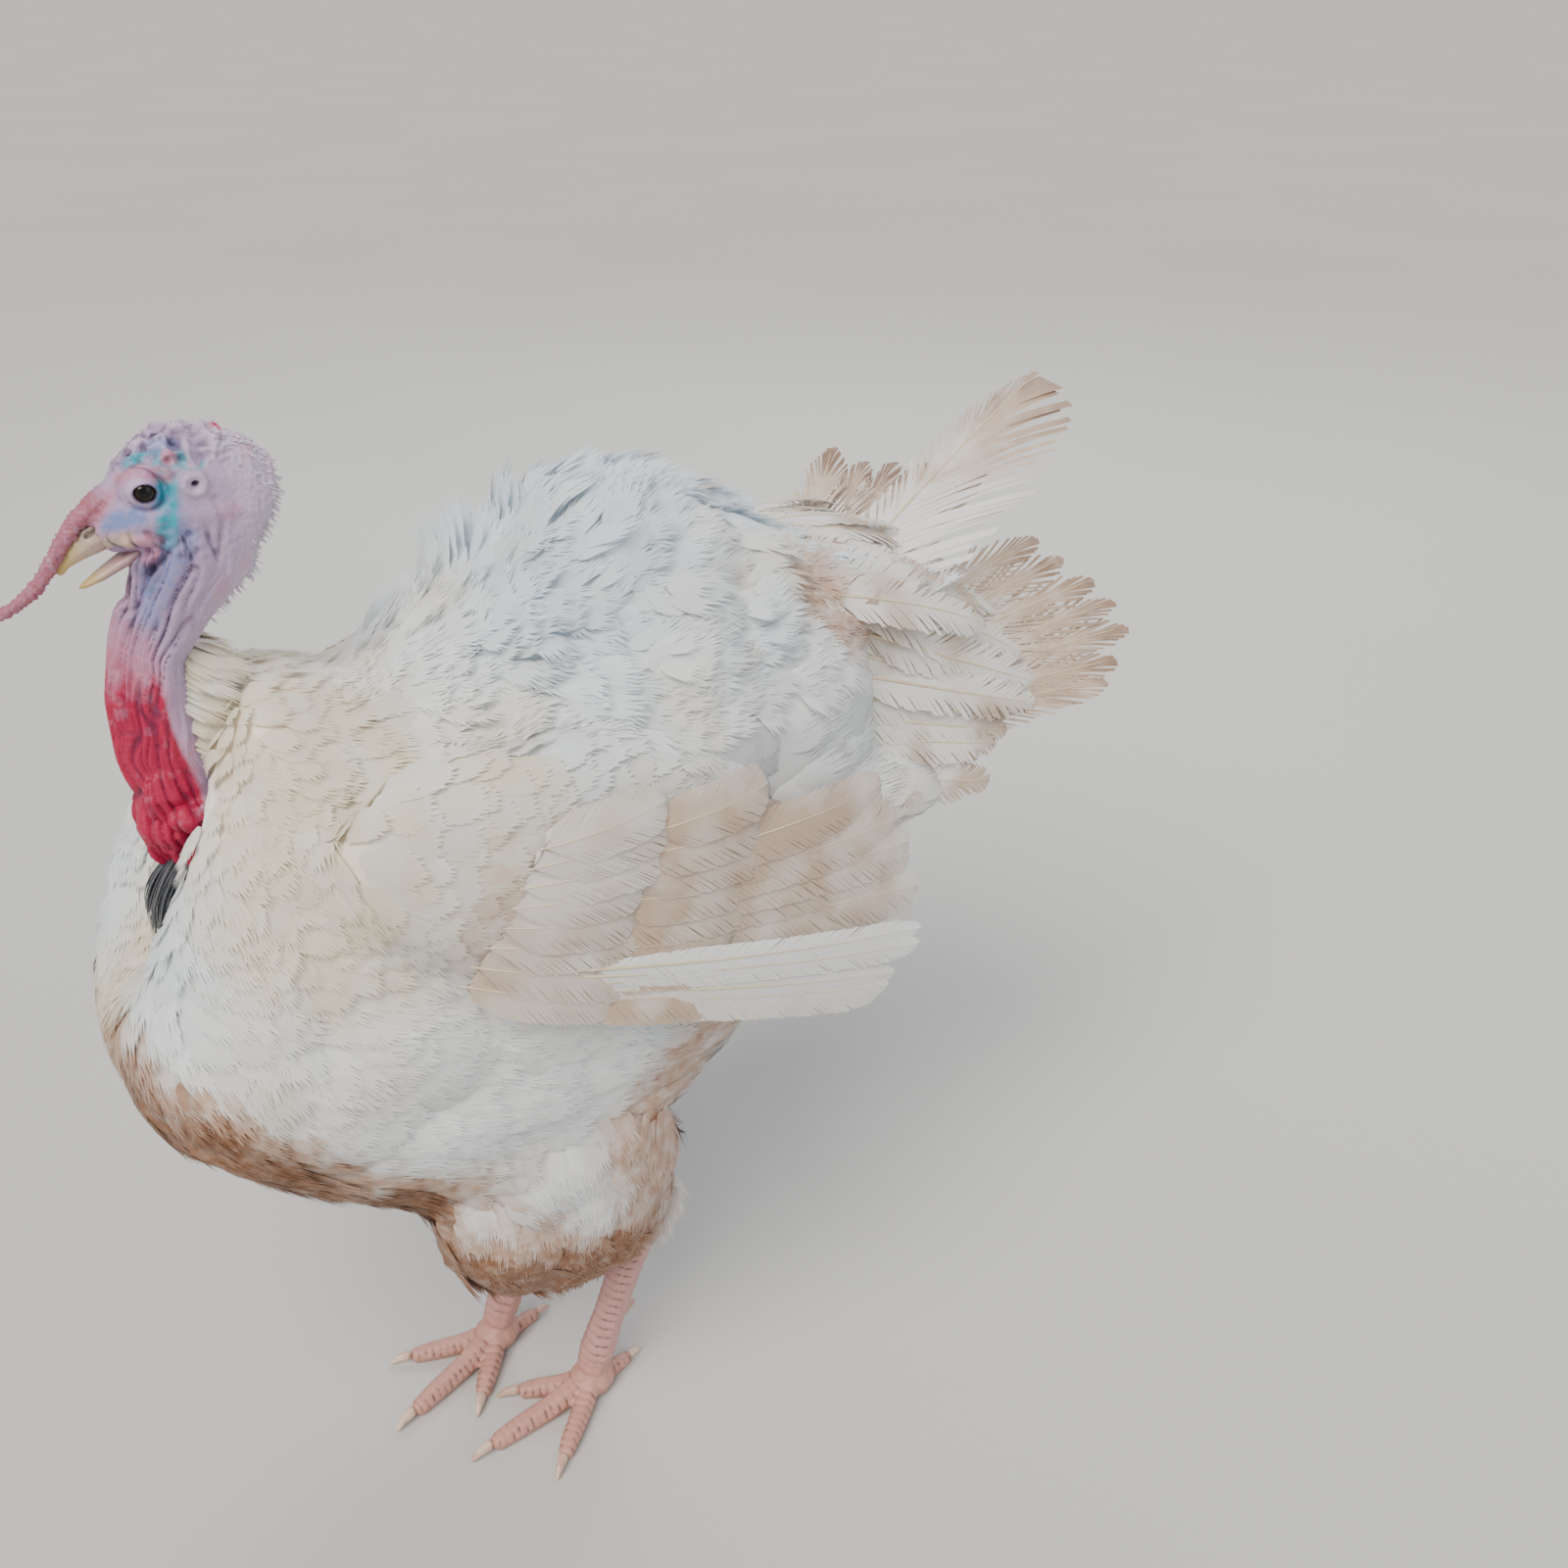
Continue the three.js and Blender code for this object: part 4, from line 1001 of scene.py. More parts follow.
def make_bill(name, node, tip_y, root_y):
    """One half of the bill: a hooked or blunt horn tip, a skin-covered root and, above, the nostrils."""
    piece = fine_solid(name, [node], 0.75, 6)
    points, normals = points_of(piece.data), normals_of(piece.data)
    mirrored = np.c_[np.abs(points[:, 0]), points[:, 1:]]
    along = ease(points[:, 1], root_y, tip_y)
    lift = noise(points * (1, 0.4, 0.4), 2.0, 52) * 0.18
    nostril = np.zeros(len(points))
    if node == "bill_upper":
        nostril = near_line(mirrored, [(7.5, -150, 646.5), (6.5, -155, 643.5)], 2.2)
        lift += 0.7 * near_line(mirrored, [(8.5, -147, 646), (7, -156, 645.5)], 4.5) - 2.2 * nostril
    skin_share = ease(points[:, 1], -154, -144) * (0.9 if node == "bill_upper" else 0.7)
    move_points(piece.data, points + normals * lift[:, None])
    set_value(piece.data, "along", along)
    set_value(piece.data, "pink", skin_share)
    # The nostrils are painted dark: painted shade in the holes.
    set_value(piece.data, "painted_shade", nostril)
    dress(piece, BILL_HORN, "bill_horn", node)


def make_claws(side):
    """The four claws and the spur of one foot, worn blunt."""
    for kind, nodes in (("claws", [f"claw_{toe}_{side}" for toe in TOE_NAMES]), ("spurs", [f"spur_{side}"])):
        piece = fine_solid(f"horn_{kind}_{side}", nodes, 0.7, 5, grow=0.15)
        points = points_of(piece.data)
        move_points(piece.data, np.c_[points[:, :2], np.maximum(points[:, 2], 0.3)])
        set_value(piece.data, "along", ease(noise(points, 6, 53), -0.4, 0.6))
        dress(piece, CLAW_HORN, "claw_horn", *nodes)


# ---------------------------------------------------------------- feather shapes


def feather_pattern(core, fringe, count, draw):
    """A small feather as points (along, across, lift) and triangles: a rounded core with frayed barbs."""
    middle, reach = 0.52 * core, 0.48 * core
    rows = [(0.0, 0.3), (middle * 0.45, 0.66), (middle, 0.88)]
    rows += [(middle + reach * c, 0.88 * math.sqrt(1 - c * c)) for c in (0.5, 0.8, 0.96)]
    points = [(s, side * wide, 0.0) for s, wide in rows for side in (-1, 0, 1)]
    triangles = []
    for r in range(len(rows) - 1):
        for c in range(2):
            a = r * 3 + c
            triangles += [(a, a + 1, a + 4), (a, a + 4, a + 3)]
    spread = math.radians(112)
    step = 2 * spread / count
    for k in range(count):
        turn = -spread + (k + 0.5) * step
        long = fringe * draw.uniform(0.65, 1.2)
        swing = draw.uniform(-0.5, 0.5) * step
        base = len(points)
        for edge in (-0.75, 0.75):
            a = turn + edge * step
            points.append((middle + reach * 0.93 * math.cos(a), 0.84 * math.sin(a), 0.0))
        a = turn + swing
        points.append((
            middle + reach * math.cos(a) + long * (0.72 + 0.28 * max(math.cos(a), 0)),
            0.88 * math.sin(a) * (1 + 0.4 * long) + 0.12 * long * math.sin(a),
            draw.uniform(-0.08, 0.08),
        ))
        triangles.append((base, base + 1, base + 2))
    return np.array(points), np.array(triangles)


# What the feathers of each stretch of plumage are like, in millimetres and degrees: spacing, length,
# half-width, lift over the coat's depth, leaning together, puffing up, size of a bunch, how far bunches turn
# aside, straying, share of the vane that is core, fringe.
PLUMAGE = {
    "hump": dict(
        space=6.6, length=22, half=8.5, lift=1.10, clump=0.04, puff=0.9,
        bunch=40, way=0.34, stray=40, core=0.60, fringe=0.46),
    "mantle": dict(
        space=6.2, length=25, half=8.5, lift=0.95, clump=0.08, puff=0.25,
        bunch=30, way=0.16, stray=14, core=0.72, fringe=0.30),
    "breast": dict(
        space=6.8, length=29, half=9.5, lift=0.95, clump=0.10, puff=0.30,
        bunch=34, way=0.14, stray=13, core=0.70, fringe=0.32),
    "belly": dict(
        space=6.2, length=38, half=7.5, lift=1.20, clump=0.50, puff=0.35,
        bunch=26, way=0.3, stray=20, core=0.50, fringe=0.55),
    "thigh": dict(
        space=6.4, length=30, half=8.0, lift=1.00, clump=0.28, puff=0.35,
        bunch=28, way=0.22, stray=16, core=0.60, fringe=0.42),
    "wing": dict(
        space=8.0, length=34, half=11.5, lift=0.85, clump=0.0, puff=0.05,
        bunch=30, way=0.08, stray=6, core=0.86, fringe=0.14),
    "rump": dict(
        space=7.2, length=38, half=11.0, lift=0.95, clump=0.10, puff=0.35,
        bunch=34, way=0.2, stray=14, core=0.66, fringe=0.38),
    "vent": dict(
        space=7.0, length=42, half=9.5, lift=1.10, clump=0.32, puff=0.35,
        bunch=26, way=0.25, stray=17, core=0.56, fringe=0.50),
    "ruff": dict(half=4.8, stray=22, core=0.48, fringe=0.55),
}
BEARD_LINE = [(4, -137, 468), (2, -154, 424)]  # no feathers grow close to these two
LOBE_LINE = [(22, -136, 500), (30, -120, 506)]
BEARD_CLEARANCE = 15.0
LOBE_CLEARANCE = 17.0
BARE_CLEARANCE = 3.0
WIDEST_SPACE = 9.0  # side of the cells that roots are sorted into, more than any spacing
TUFTS = [  # bunches that stand up from the hump: place, radius, height
    ((-43, 30, 582), 30, 15),
    ((-43, 62, 606), 26, 22),
    ((-40, 0, 566), 24, 7),
]
STATIONS = np.array([0.0, 0.25, 0.5, 0.75, 1.0])  # places along a feather's middle line, as shares of it
ROOT_LIFT = 0.32  # how far up through the coat a feather already is at its root
PATCH = 0.003  # size of one feather's patch on the map OFBake


class SkinMap:
    """Looks up the nearest place on the coated body, with its normal, coat depth and unwrapped place."""

    def __init__(self, body):
        mesh = body.data
        self.points = points_of(mesh)
        self.normals = normals_of(mesh)
        self.triangles = triangles_of(mesh)
        self.depth = np.empty(len(mesh.vertices), np.float32)
        mesh.attributes["depth"].data.foreach_get("value", self.depth)
        self.tree = BVHTree.FromPolygons(self.points.tolist(), self.triangles.tolist())
        uv = np.empty(len(mesh.loops) * 2, np.float32)
        mesh.uv_layers.active.data.foreach_get("uv", uv)
        loops = np.empty(len(mesh.loop_triangles) * 3, np.int32)
        mesh.loop_triangles.foreach_get("loops", loops)
        self.corner_uv = uv.reshape(-1, 2)[loops.reshape(-1, 3)]

    def look(self, points):
        """The nearest place, its normal, coat depth and unwrapped place for each point."""
        found = [self.tree.find_nearest(p) for p in points.tolist()]
        index = np.array([f[2] for f in found])
        place = np.array([f[0][:] for f in found])
        tri = self.triangles[index]
        a, b, c = (self.points[tri[:, k]] for k in range(3))
        across = np.cross(b - a, c - a)
        area = np.maximum((across**2).sum(axis=1), 1e-9)
        wb = (np.cross(place - a, c - a) * across).sum(axis=1) / area
        wc = (np.cross(b - a, place - a) * across).sum(axis=1) / area
        share = np.clip(np.stack([1 - wb - wc, wb, wc], axis=1), 0, 1)
        share /= share.sum(axis=1, keepdims=True)
        normal = unit((self.normals[tri] * share[..., None]).sum(axis=1))
        depth = (self.depth[tri] * share).sum(axis=1)
        uv = (self.corner_uv[index] * share[..., None]).sum(axis=1)
        return place, normal, depth, uv


def unwrap(body):
    """Unwraps the coated body by its own shape."""
    for other in bpy.context.view_layer.objects:
        other.select_set(False)
    bpy.context.view_layer.objects.active = body
    body.select_set(True)
    bpy.ops.object.mode_set(mode="EDIT")
    bpy.ops.mesh.select_all(action="SELECT")
    bpy.ops.uv.smart_project(angle_limit=1.15, island_margin=0.004, scale_to_bounds=True)
    bpy.ops.object.mode_set(mode="OBJECT")


def lie_of_coat(points, normals, kind):
    """The way the feathers point at these places: from the head back to the tail, and down the flanks."""
    side = np.sign(points[:, 0]) * ease(np.abs(points[:, 0]), 10, 60)
    y, z = points[:, 1], points[:, 2]
    flow = np.tile([0.0, 1.0, -0.25], (len(points), 1))
    before = ease(y, -60, -170)
    flow[:, 2] -= 1.2 * before
    flow[:, 0] += side * (0.35 * before + 0.15)
    flow[:, 2] -= 0.5 * ease(z, 600, 480) * ease(z, 300, 420)
    flow[:, 2] += 0.35 * ease(y, -60, 20) * ease(z, 520, 600)
    if kind == "thigh":
        flow = np.tile([0.0, 0.25, -1.0], (len(points), 1))
    if kind == "wing":
        flow = np.tile([0.0, 1.0, -0.22], (len(points), 1))
    if kind in ("rump", "vent"):
        flow = np.tile([0.0, 1.0, 0.0], (len(points), 1))
        flow[:, 0] += 0.25 * points[:, 0] / 60
    flow = flow - normals * (flow * normals).sum(axis=1, keepdims=True)
    return unit(flow)


def turned(vectors, axes, angles):
    """Vectors turned about unit axes at right angles to them."""
    return vectors * np.cos(angles)[:, None] + np.cross(axes, vectors) * np.sin(angles)[:, None]


def scatter_roots(skin_map, draw, tries):
    """Feather roots over the body, no two closer than the spacing of their place."""
    tri = skin_map.triangles
    a, b, c = (skin_map.points[tri[:, k]] for k in range(3))
    area = np.linalg.norm(np.cross(b - a, c - a), axis=1)
    pick = draw.choice(len(tri), size=tries, p=area / area.sum())
    r = draw.uniform(size=(tries, 2))
    r = np.where(r.sum(axis=1, keepdims=True) > 1, 1 - r, r)
    spots = a[pick] + (b - a)[pick] * r[:, :1] + (c - a)[pick] * r[:, 1:]
    kinds = plumage_kind(spots)
    grid, kept = {}, []
    cells = np.floor(spots / WIDEST_SPACE).astype(int).tolist()
    beside = [(dx, dy, dz) for dx in (-1, 0, 1) for dy in (-1, 0, 1) for dz in (-1, 0, 1)]
    coordinates = spots.tolist()
    for i, ((cx, cy, cz), spot) in enumerate(zip(cells, coordinates)):
        if not kinds[i]:
            continue
        space = PLUMAGE[kinds[i]]["space"]
        around = (j for dx, dy, dz in beside for j in grid.get((cx + dx, cy + dy, cz + dz), ()))
        if all(math.dist(coordinates[j], spot) >= space for j in around):
            grid.setdefault((cx, cy, cz), []).append(i)
            kept.append(i)
    return spots[kept], kinds[kept]


def plumage_kind(points):
    """Names the stretch of plumage that each place belongs to, with no name where no feather grows."""
    away = np.stack([distances(TREES[g], points) - COAT_DEPTH[g] for g in FLESH], axis=1)
    group = np.array(list(FLESH))[away.argmin(axis=1)]
    y, z = points[:, 1], points[:, 2]
    under = z - np.interp(y, BELLY_LINE[:, 0], BELLY_LINE[:, 1])
    from_beard = to_line(points, BEARD_LINE)[0] - BEARD_CLEARANCE
    # The left side lobe of the wattles lies on the plumage.
    from_lobe = to_line(points, LOBE_LINE)[0] - LOBE_CLEARANCE
    reach = np.minimum(np.minimum(distances(BARE_TREE, points), from_beard), from_lobe)
    hind = np.where(z > RUMP_HEIGHT, "rump", "vent")
    stretches = [
        ((reach < BARE_CLEARANCE) | ((group == "coverts") & (y > LAST_ROOT)), ""),
        (group == "thigh", "thigh"),
        (group == "wing", "wing"),
        (group == "coverts", hind),
        ((under < 58) & (y < 150), "belly"),
        ((z > 515) & (y > -30) & (y < 222), "hump"),
        (y > 150, hind),
        ((z > RUMP_HEIGHT) | ((y < -60) & (z > 440)), "mantle"),
    ]
    return np.select([where for where, _ in stretches], [name for _, name in stretches], "breast")


def bunch_middle(places, bunch):
    """The middle of the bunch that each place belongs to."""
    total = np.zeros((bunch.max() + 1, 3))
    np.add.at(total, bunch, places)
    return (total / np.maximum(np.bincount(bunch), 1)[:, None])[bunch]


def lay_feathers(name, skin_map, roots, kind, draw):
    """One piece of plumage: every feather follows the skin from its root and lifts to the coat's top."""
    style = PLUMAGE[kind]
    count = len(roots)
    place, normal, depth, uv = skin_map.look(roots)
    size = 1 + 0.16 * draw.uniform(-1, 1, count)
    length = style["length"] * size * edge_size(roots)
    heading = lie_of_coat(place, normal, kind)
    bunch, bunch_way = clump_of(roots, style["bunch"], draw)
    swirl = noise(roots, 46, 61) * 0.22 + draw.normal(0, math.radians(style["stray"]) * 0.5, count)
    swirl += draw.normal(0, style["way"], bunch.max() + 1)[bunch]
    heading = turned(heading, normal, swirl)
    line, normals, depths = [place], [normal], [depth]
    spot = place
    for _ in STATIONS[1:]:
        ahead = spot + heading * (length / (len(STATIONS) - 1))[:, None]
        spot, n, d, _uv = skin_map.look(ahead)
        # Past the end of the tail's covert cones a feather runs straight on.
        past = (np.linalg.norm(spot - ahead, axis=1) > 5) & (ahead[:, 1] > CONE_START + 8)
        if kind == "thigh":
            # Round the hock the thigh's feathers hang straight down instead of turning under it.
            past |= (n[:, 2] < -0.35) & (ahead[:, 2] < THIN_COAT[0])
        spot = np.where(past[:, None], ahead, spot)
        n = np.where(past[:, None], normals[-1], n)
        heading = np.where(past[:, None], heading, turned(lie_of_coat(spot, n, kind), n, swirl))
        line.append(spot)
        normals.append(n)
        depths.append(d)
    line, normals, depths = np.stack(line, 1), np.stack(normals, 1), np.stack(depths, 1)
    # A feather that curls up in a crease is left out.
    lies = np.linalg.norm(line[:, -1] - line[:, 0], axis=1) > 0.62 * length
    line, normals, depths, roots, uv = line[lies], normals[lies], depths[lies], roots[lies], uv[lies]
    bunch, bunch_way, size, count = bunch[lies], bunch_way[lies], size[lies], int(lies.sum())
    # A puff is a bunch that rises in its middle and sinks round its edge.
    strength = style["puff"] * np.ones(count)
    if kind == "hump":
        strength *= ease(roots[:, 1], 228, 180) * ease(roots[:, 1], -30, 25) * ease(roots[:, 2], 505, 560)
    puff = 1 + strength * (0.3 - ease(bunch_way, 0.15 * style["bunch"], 0.75 * style["bunch"]))
    puff *= 1 + 0.25 * strength * draw.uniform(-1, 1, bunch.max() + 1)[bunch]
    lift = style["lift"] * (ROOT_LIFT + (1 - ROOT_LIFT) * STATIONS**0.85)[None, :] * depths
    lift *= (puff * (1 + 0.10 * draw.uniform(-1, 1, count)))[:, None]
    for centre, radius, height in TUFTS:
        stands = near(roots, centre, radius) * height * draw.uniform(0.75, 1.1, count)
        lift += stands[:, None] * STATIONS[None, :]
    line = line + normals * lift[..., None]
    # The tips of a bunch lean together.
    lean = (bunch_middle(line[:, -1], bunch) - line[:, -1]) * style["clump"]
    line = line + lean[:, None, :] * (STATIONS**2)[None, :, None]
    half = style["half"] * size * draw.uniform(0.88, 1.1, count) * edge_size(roots) ** 0.7
    # Light falls on a puff as on a dome.
    aside = (roots - bunch_middle(roots, bunch)) / style["bunch"] * (strength * 1.2)[:, None]
    domed = unit(normals + aside[:, None, :])
    cover(name, line, normals, domed, half, roots, uv, kind, draw)


def cover(name, line, normals, domed, half, roots, uv, kind, draw):
    """Turns the middle lines of one piece's feathers into mesh, with soft normals, its markings and its
    painted light and shade.
    """
    style = PLUMAGE[kind]
    count = len(line)
    run = np.gradient(line, axis=1)
    across = unit(np.cross(run, normals))
    over = unit(np.cross(across, run))
    roll = draw.normal(0, math.radians(style["stray"]) * 0.5, count)[:, None, None]
    across, over = across * np.cos(roll) + over * np.sin(roll), over * np.cos(roll) - across * np.sin(roll)
    patterns = [feather_pattern(style["core"], style["fringe"], 17, draw) for _ in range(8)]
    chosen = draw.integers(0, len(patterns), count)
    tint = 1 - 0.05 * draw.uniform(0, 1, count) ** 2
    marks = marks_and_painted_light(roots)
    uv = spread_map(uv)
    soft = unit(over * 0.42 + domed * 0.58)
    points, triangles, map_points, ways = [], [], [], []
    values = {key: [] for key in [*marks, "tint"]}
    total = 0
    for k, (pattern, corners) in enumerate(patterns):
        mine = np.where(chosen == k)[0]
        if not len(mine):
            continue
        s, t, h = pattern.T
        weight = station_weights(s)
        spine, side, up, way = (
            np.einsum("mj,njk->nmk", weight, field[mine]) for field in (line, across, over, soft)
        )
        wide = half[mine][:, None, None]
        made = spine + side * t[None, :, None] * wide + up * (h - 0.16 * t**2)[None, :, None] * wide
        way = way + side * (0.25 * t)[None, :, None]
        n, m = len(mine), len(pattern)
        points.append(made.reshape(-1, 3))
        ways.append(way.reshape(-1, 3))
        triangles.append((corners[None] + (total + np.arange(n) * m)[:, None, None]).reshape(-1, 3))
        patch = np.stack([s * PATCH, t * PATCH / 2], axis=1)
        map_points.append((uv[mine][:, None, :] + patch[None]).reshape(-1, 2))
        for key in marks:
            values[key].append(np.repeat(marks[key][mine], m))
        values["tint"].append(np.repeat(tint[mine], m))
        total += n * m
    piece = mesh_of(
        name, np.concatenate(points), np.concatenate(triangles),
        {key: np.concatenate(v) for key, v in values.items()}, np.concatenate(map_points), [KERATIN_PLUME],
    )
    piece.data.normals_split_custom_set_from_vertices(unit(np.concatenate(ways)).tolist())
    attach(piece, "root")


def straight_feathers(roots, headings, length, up):
    """Middle lines of feathers that run straight from their roots, and the way their faces look."""
    line = roots[:, None] + headings[:, None] * (STATIONS[None, :] * length[:, None])[..., None]
    face = unit(np.cross(np.cross(headings, up), headings))
    return line, np.repeat(face[:, None], len(STATIONS), axis=1)


HOCK_FEATHERS = 320  # on each leg
RUFF_FEATHERS = 900


def make_hock_feathers(skin_map, draw):
    """Short feathers that close round the top of each shank, so that it comes out of the thigh's plumage."""
    roots, headings = [], []
    for foot in FEET.values():
        joint, hock = np.array(foot["joint"], float), np.array(foot["hock"], float)
        axis = unit(hock - joint)
        side = unit(np.cross(axis, (0, 1, 0)))
        other = np.cross(axis, side)
        for _ in range(HOCK_FEATHERS):
            angle, level = draw.uniform(0, 2 * math.pi), draw.uniform()
            radial = side * math.cos(angle) + other * math.sin(angle)
            out = 0.3 + 13.5 * math.sin(level * math.pi / 2)
            roots.append(hock + axis * (30 - 24 * level) + radial * out)
            headings.append(unit(-axis * (0.4 + level) + radial * (1.0 - 0.75 * level)))
    roots = np.array(roots)
    headings = unit(np.array(headings) + draw.normal(0, 0.1, roots.shape))
    length = draw.uniform(15, 27, len(roots))
    out = roots - np.where(roots[:, :1] > 0, FEET["left"]["hock"], FEET["right"]["hock"])
    line, normals = straight_feathers(roots, headings, length, unit(out + 1e-6))
    line[..., 2] -= (STATIONS**2)[None] * (length * 0.22)[:, None]
    half = PLUMAGE["thigh"]["half"] * draw.uniform(0.5, 0.85, len(roots))
    cover("plumes_hock", line, normals, normals, half, roots, skin_map.look(roots)[3], "thigh", draw)


def edge_size(points):
    """Feathers are small beside the bare neck and grow away from it."""
    _, _, away = neck_frame(points)
    return 0.55 + 0.45 * ease(away, 26, 80)


def spread_map(uv):
    """Stretches the unwrapped places of one piece over the whole square, leaving room for the patches."""
    low, high = uv.min(axis=0), uv.max(axis=0)
    return 0.005 + (uv - low) / np.maximum(high - low, 1e-6) * 0.985


def station_weights(s):
    """How much each station of the middle line counts at places along the feather."""
    spot = np.clip(s, 0, 1.12) * (len(STATIONS) - 1)
    low = np.minimum(np.floor(spot).astype(int), len(STATIONS) - 2)
    part = spot - low
    weight = np.zeros((len(s), len(STATIONS)))
    weight[np.arange(len(s)), low] = 1 - part
    weight[np.arange(len(s)), low + 1] += part
    return weight


def clump_of(points, size, draw):
    """Gives each place the number of the bunch it belongs to and its way from the bunch's middle."""
    centres = points[draw.permutation(len(points))[: max(1, int(len(points) / (size / 6.5) ** 2))]]
    tree = KDTree(len(centres))
    for k, centre in enumerate(centres):
        tree.insert(centre, k)
    tree.balance()
    found = [tree.find(p) for p in points.tolist()]
    return np.array([f[1] for f in found]), np.array([f[2] for f in found])


def make_coat(body):
    """All the small feathers, one piece for each stretch of plumage and side."""
    unwrap(body)
    skin_map = SkinMap(body)
    draw = np.random.default_rng(11)
    tries = 110000
    roots, kinds = scatter_roots(skin_map, draw, tries)
    for kind in PLUMAGE:
        for side, sign in SIDES.items():
            mine = roots[(kinds == kind) & (np.sign(roots[:, 0] + 1e-9) == sign)]
            if len(mine):
                lay_feathers(f"plumes_{kind}_{side}", skin_map, mine, kind, draw)
    make_ruff(skin_map, draw)
    make_hock_feathers(skin_map, draw)


def make_ruff(skin_map, draw):
    """The collar where plumage begins behind the bare neck, its feathers lying back onto the mantle."""
    count = RUFF_FEATHERS
    z = draw.uniform(494, 582, count)
    first = 2.1 + 0.2 * ease(z, 560, 590) + 0.25 * ease(z, 528, 506)
    angle = first + (math.pi - first) * draw.uniform(0, 1, count)
    sign = np.where(draw.uniform(size=count) < 0.5, 1, -1)
    out = np.c_[sign * np.sin(angle), -np.cos(angle), np.zeros(count)]
    y = np.interp(z, NECK_AXIS[:, 1], NECK_AXIS[:, 0])
    roots = np.c_[np.zeros(count), y, z] + out * draw.uniform(14, 18.5, count)[:, None]
    headings = unit(out * 0.3 + np.array([0, 0.75, -0.58]) + draw.normal(0, 0.11, (count, 3)))
    length = np.interp(z, [496, 540, 584], [19, 27, 31]) * draw.uniform(0.6, 1.15, count)
    line, normals = straight_feathers(roots, headings, length, unit(out + np.array([0, 0, 0.5])))
    line = line + out[:, None] * (4 * STATIONS * (1 - STATIONS))[None, :, None] * 2.0
    half = PLUMAGE["ruff"]["half"] * draw.uniform(0.7, 1.1, count)
    cover("plumes_ruff", line, normals, normals, half, roots, skin_map.look(roots)[3], "ruff", draw)


# ---------------------------------------------------------------- quills of wing and tail


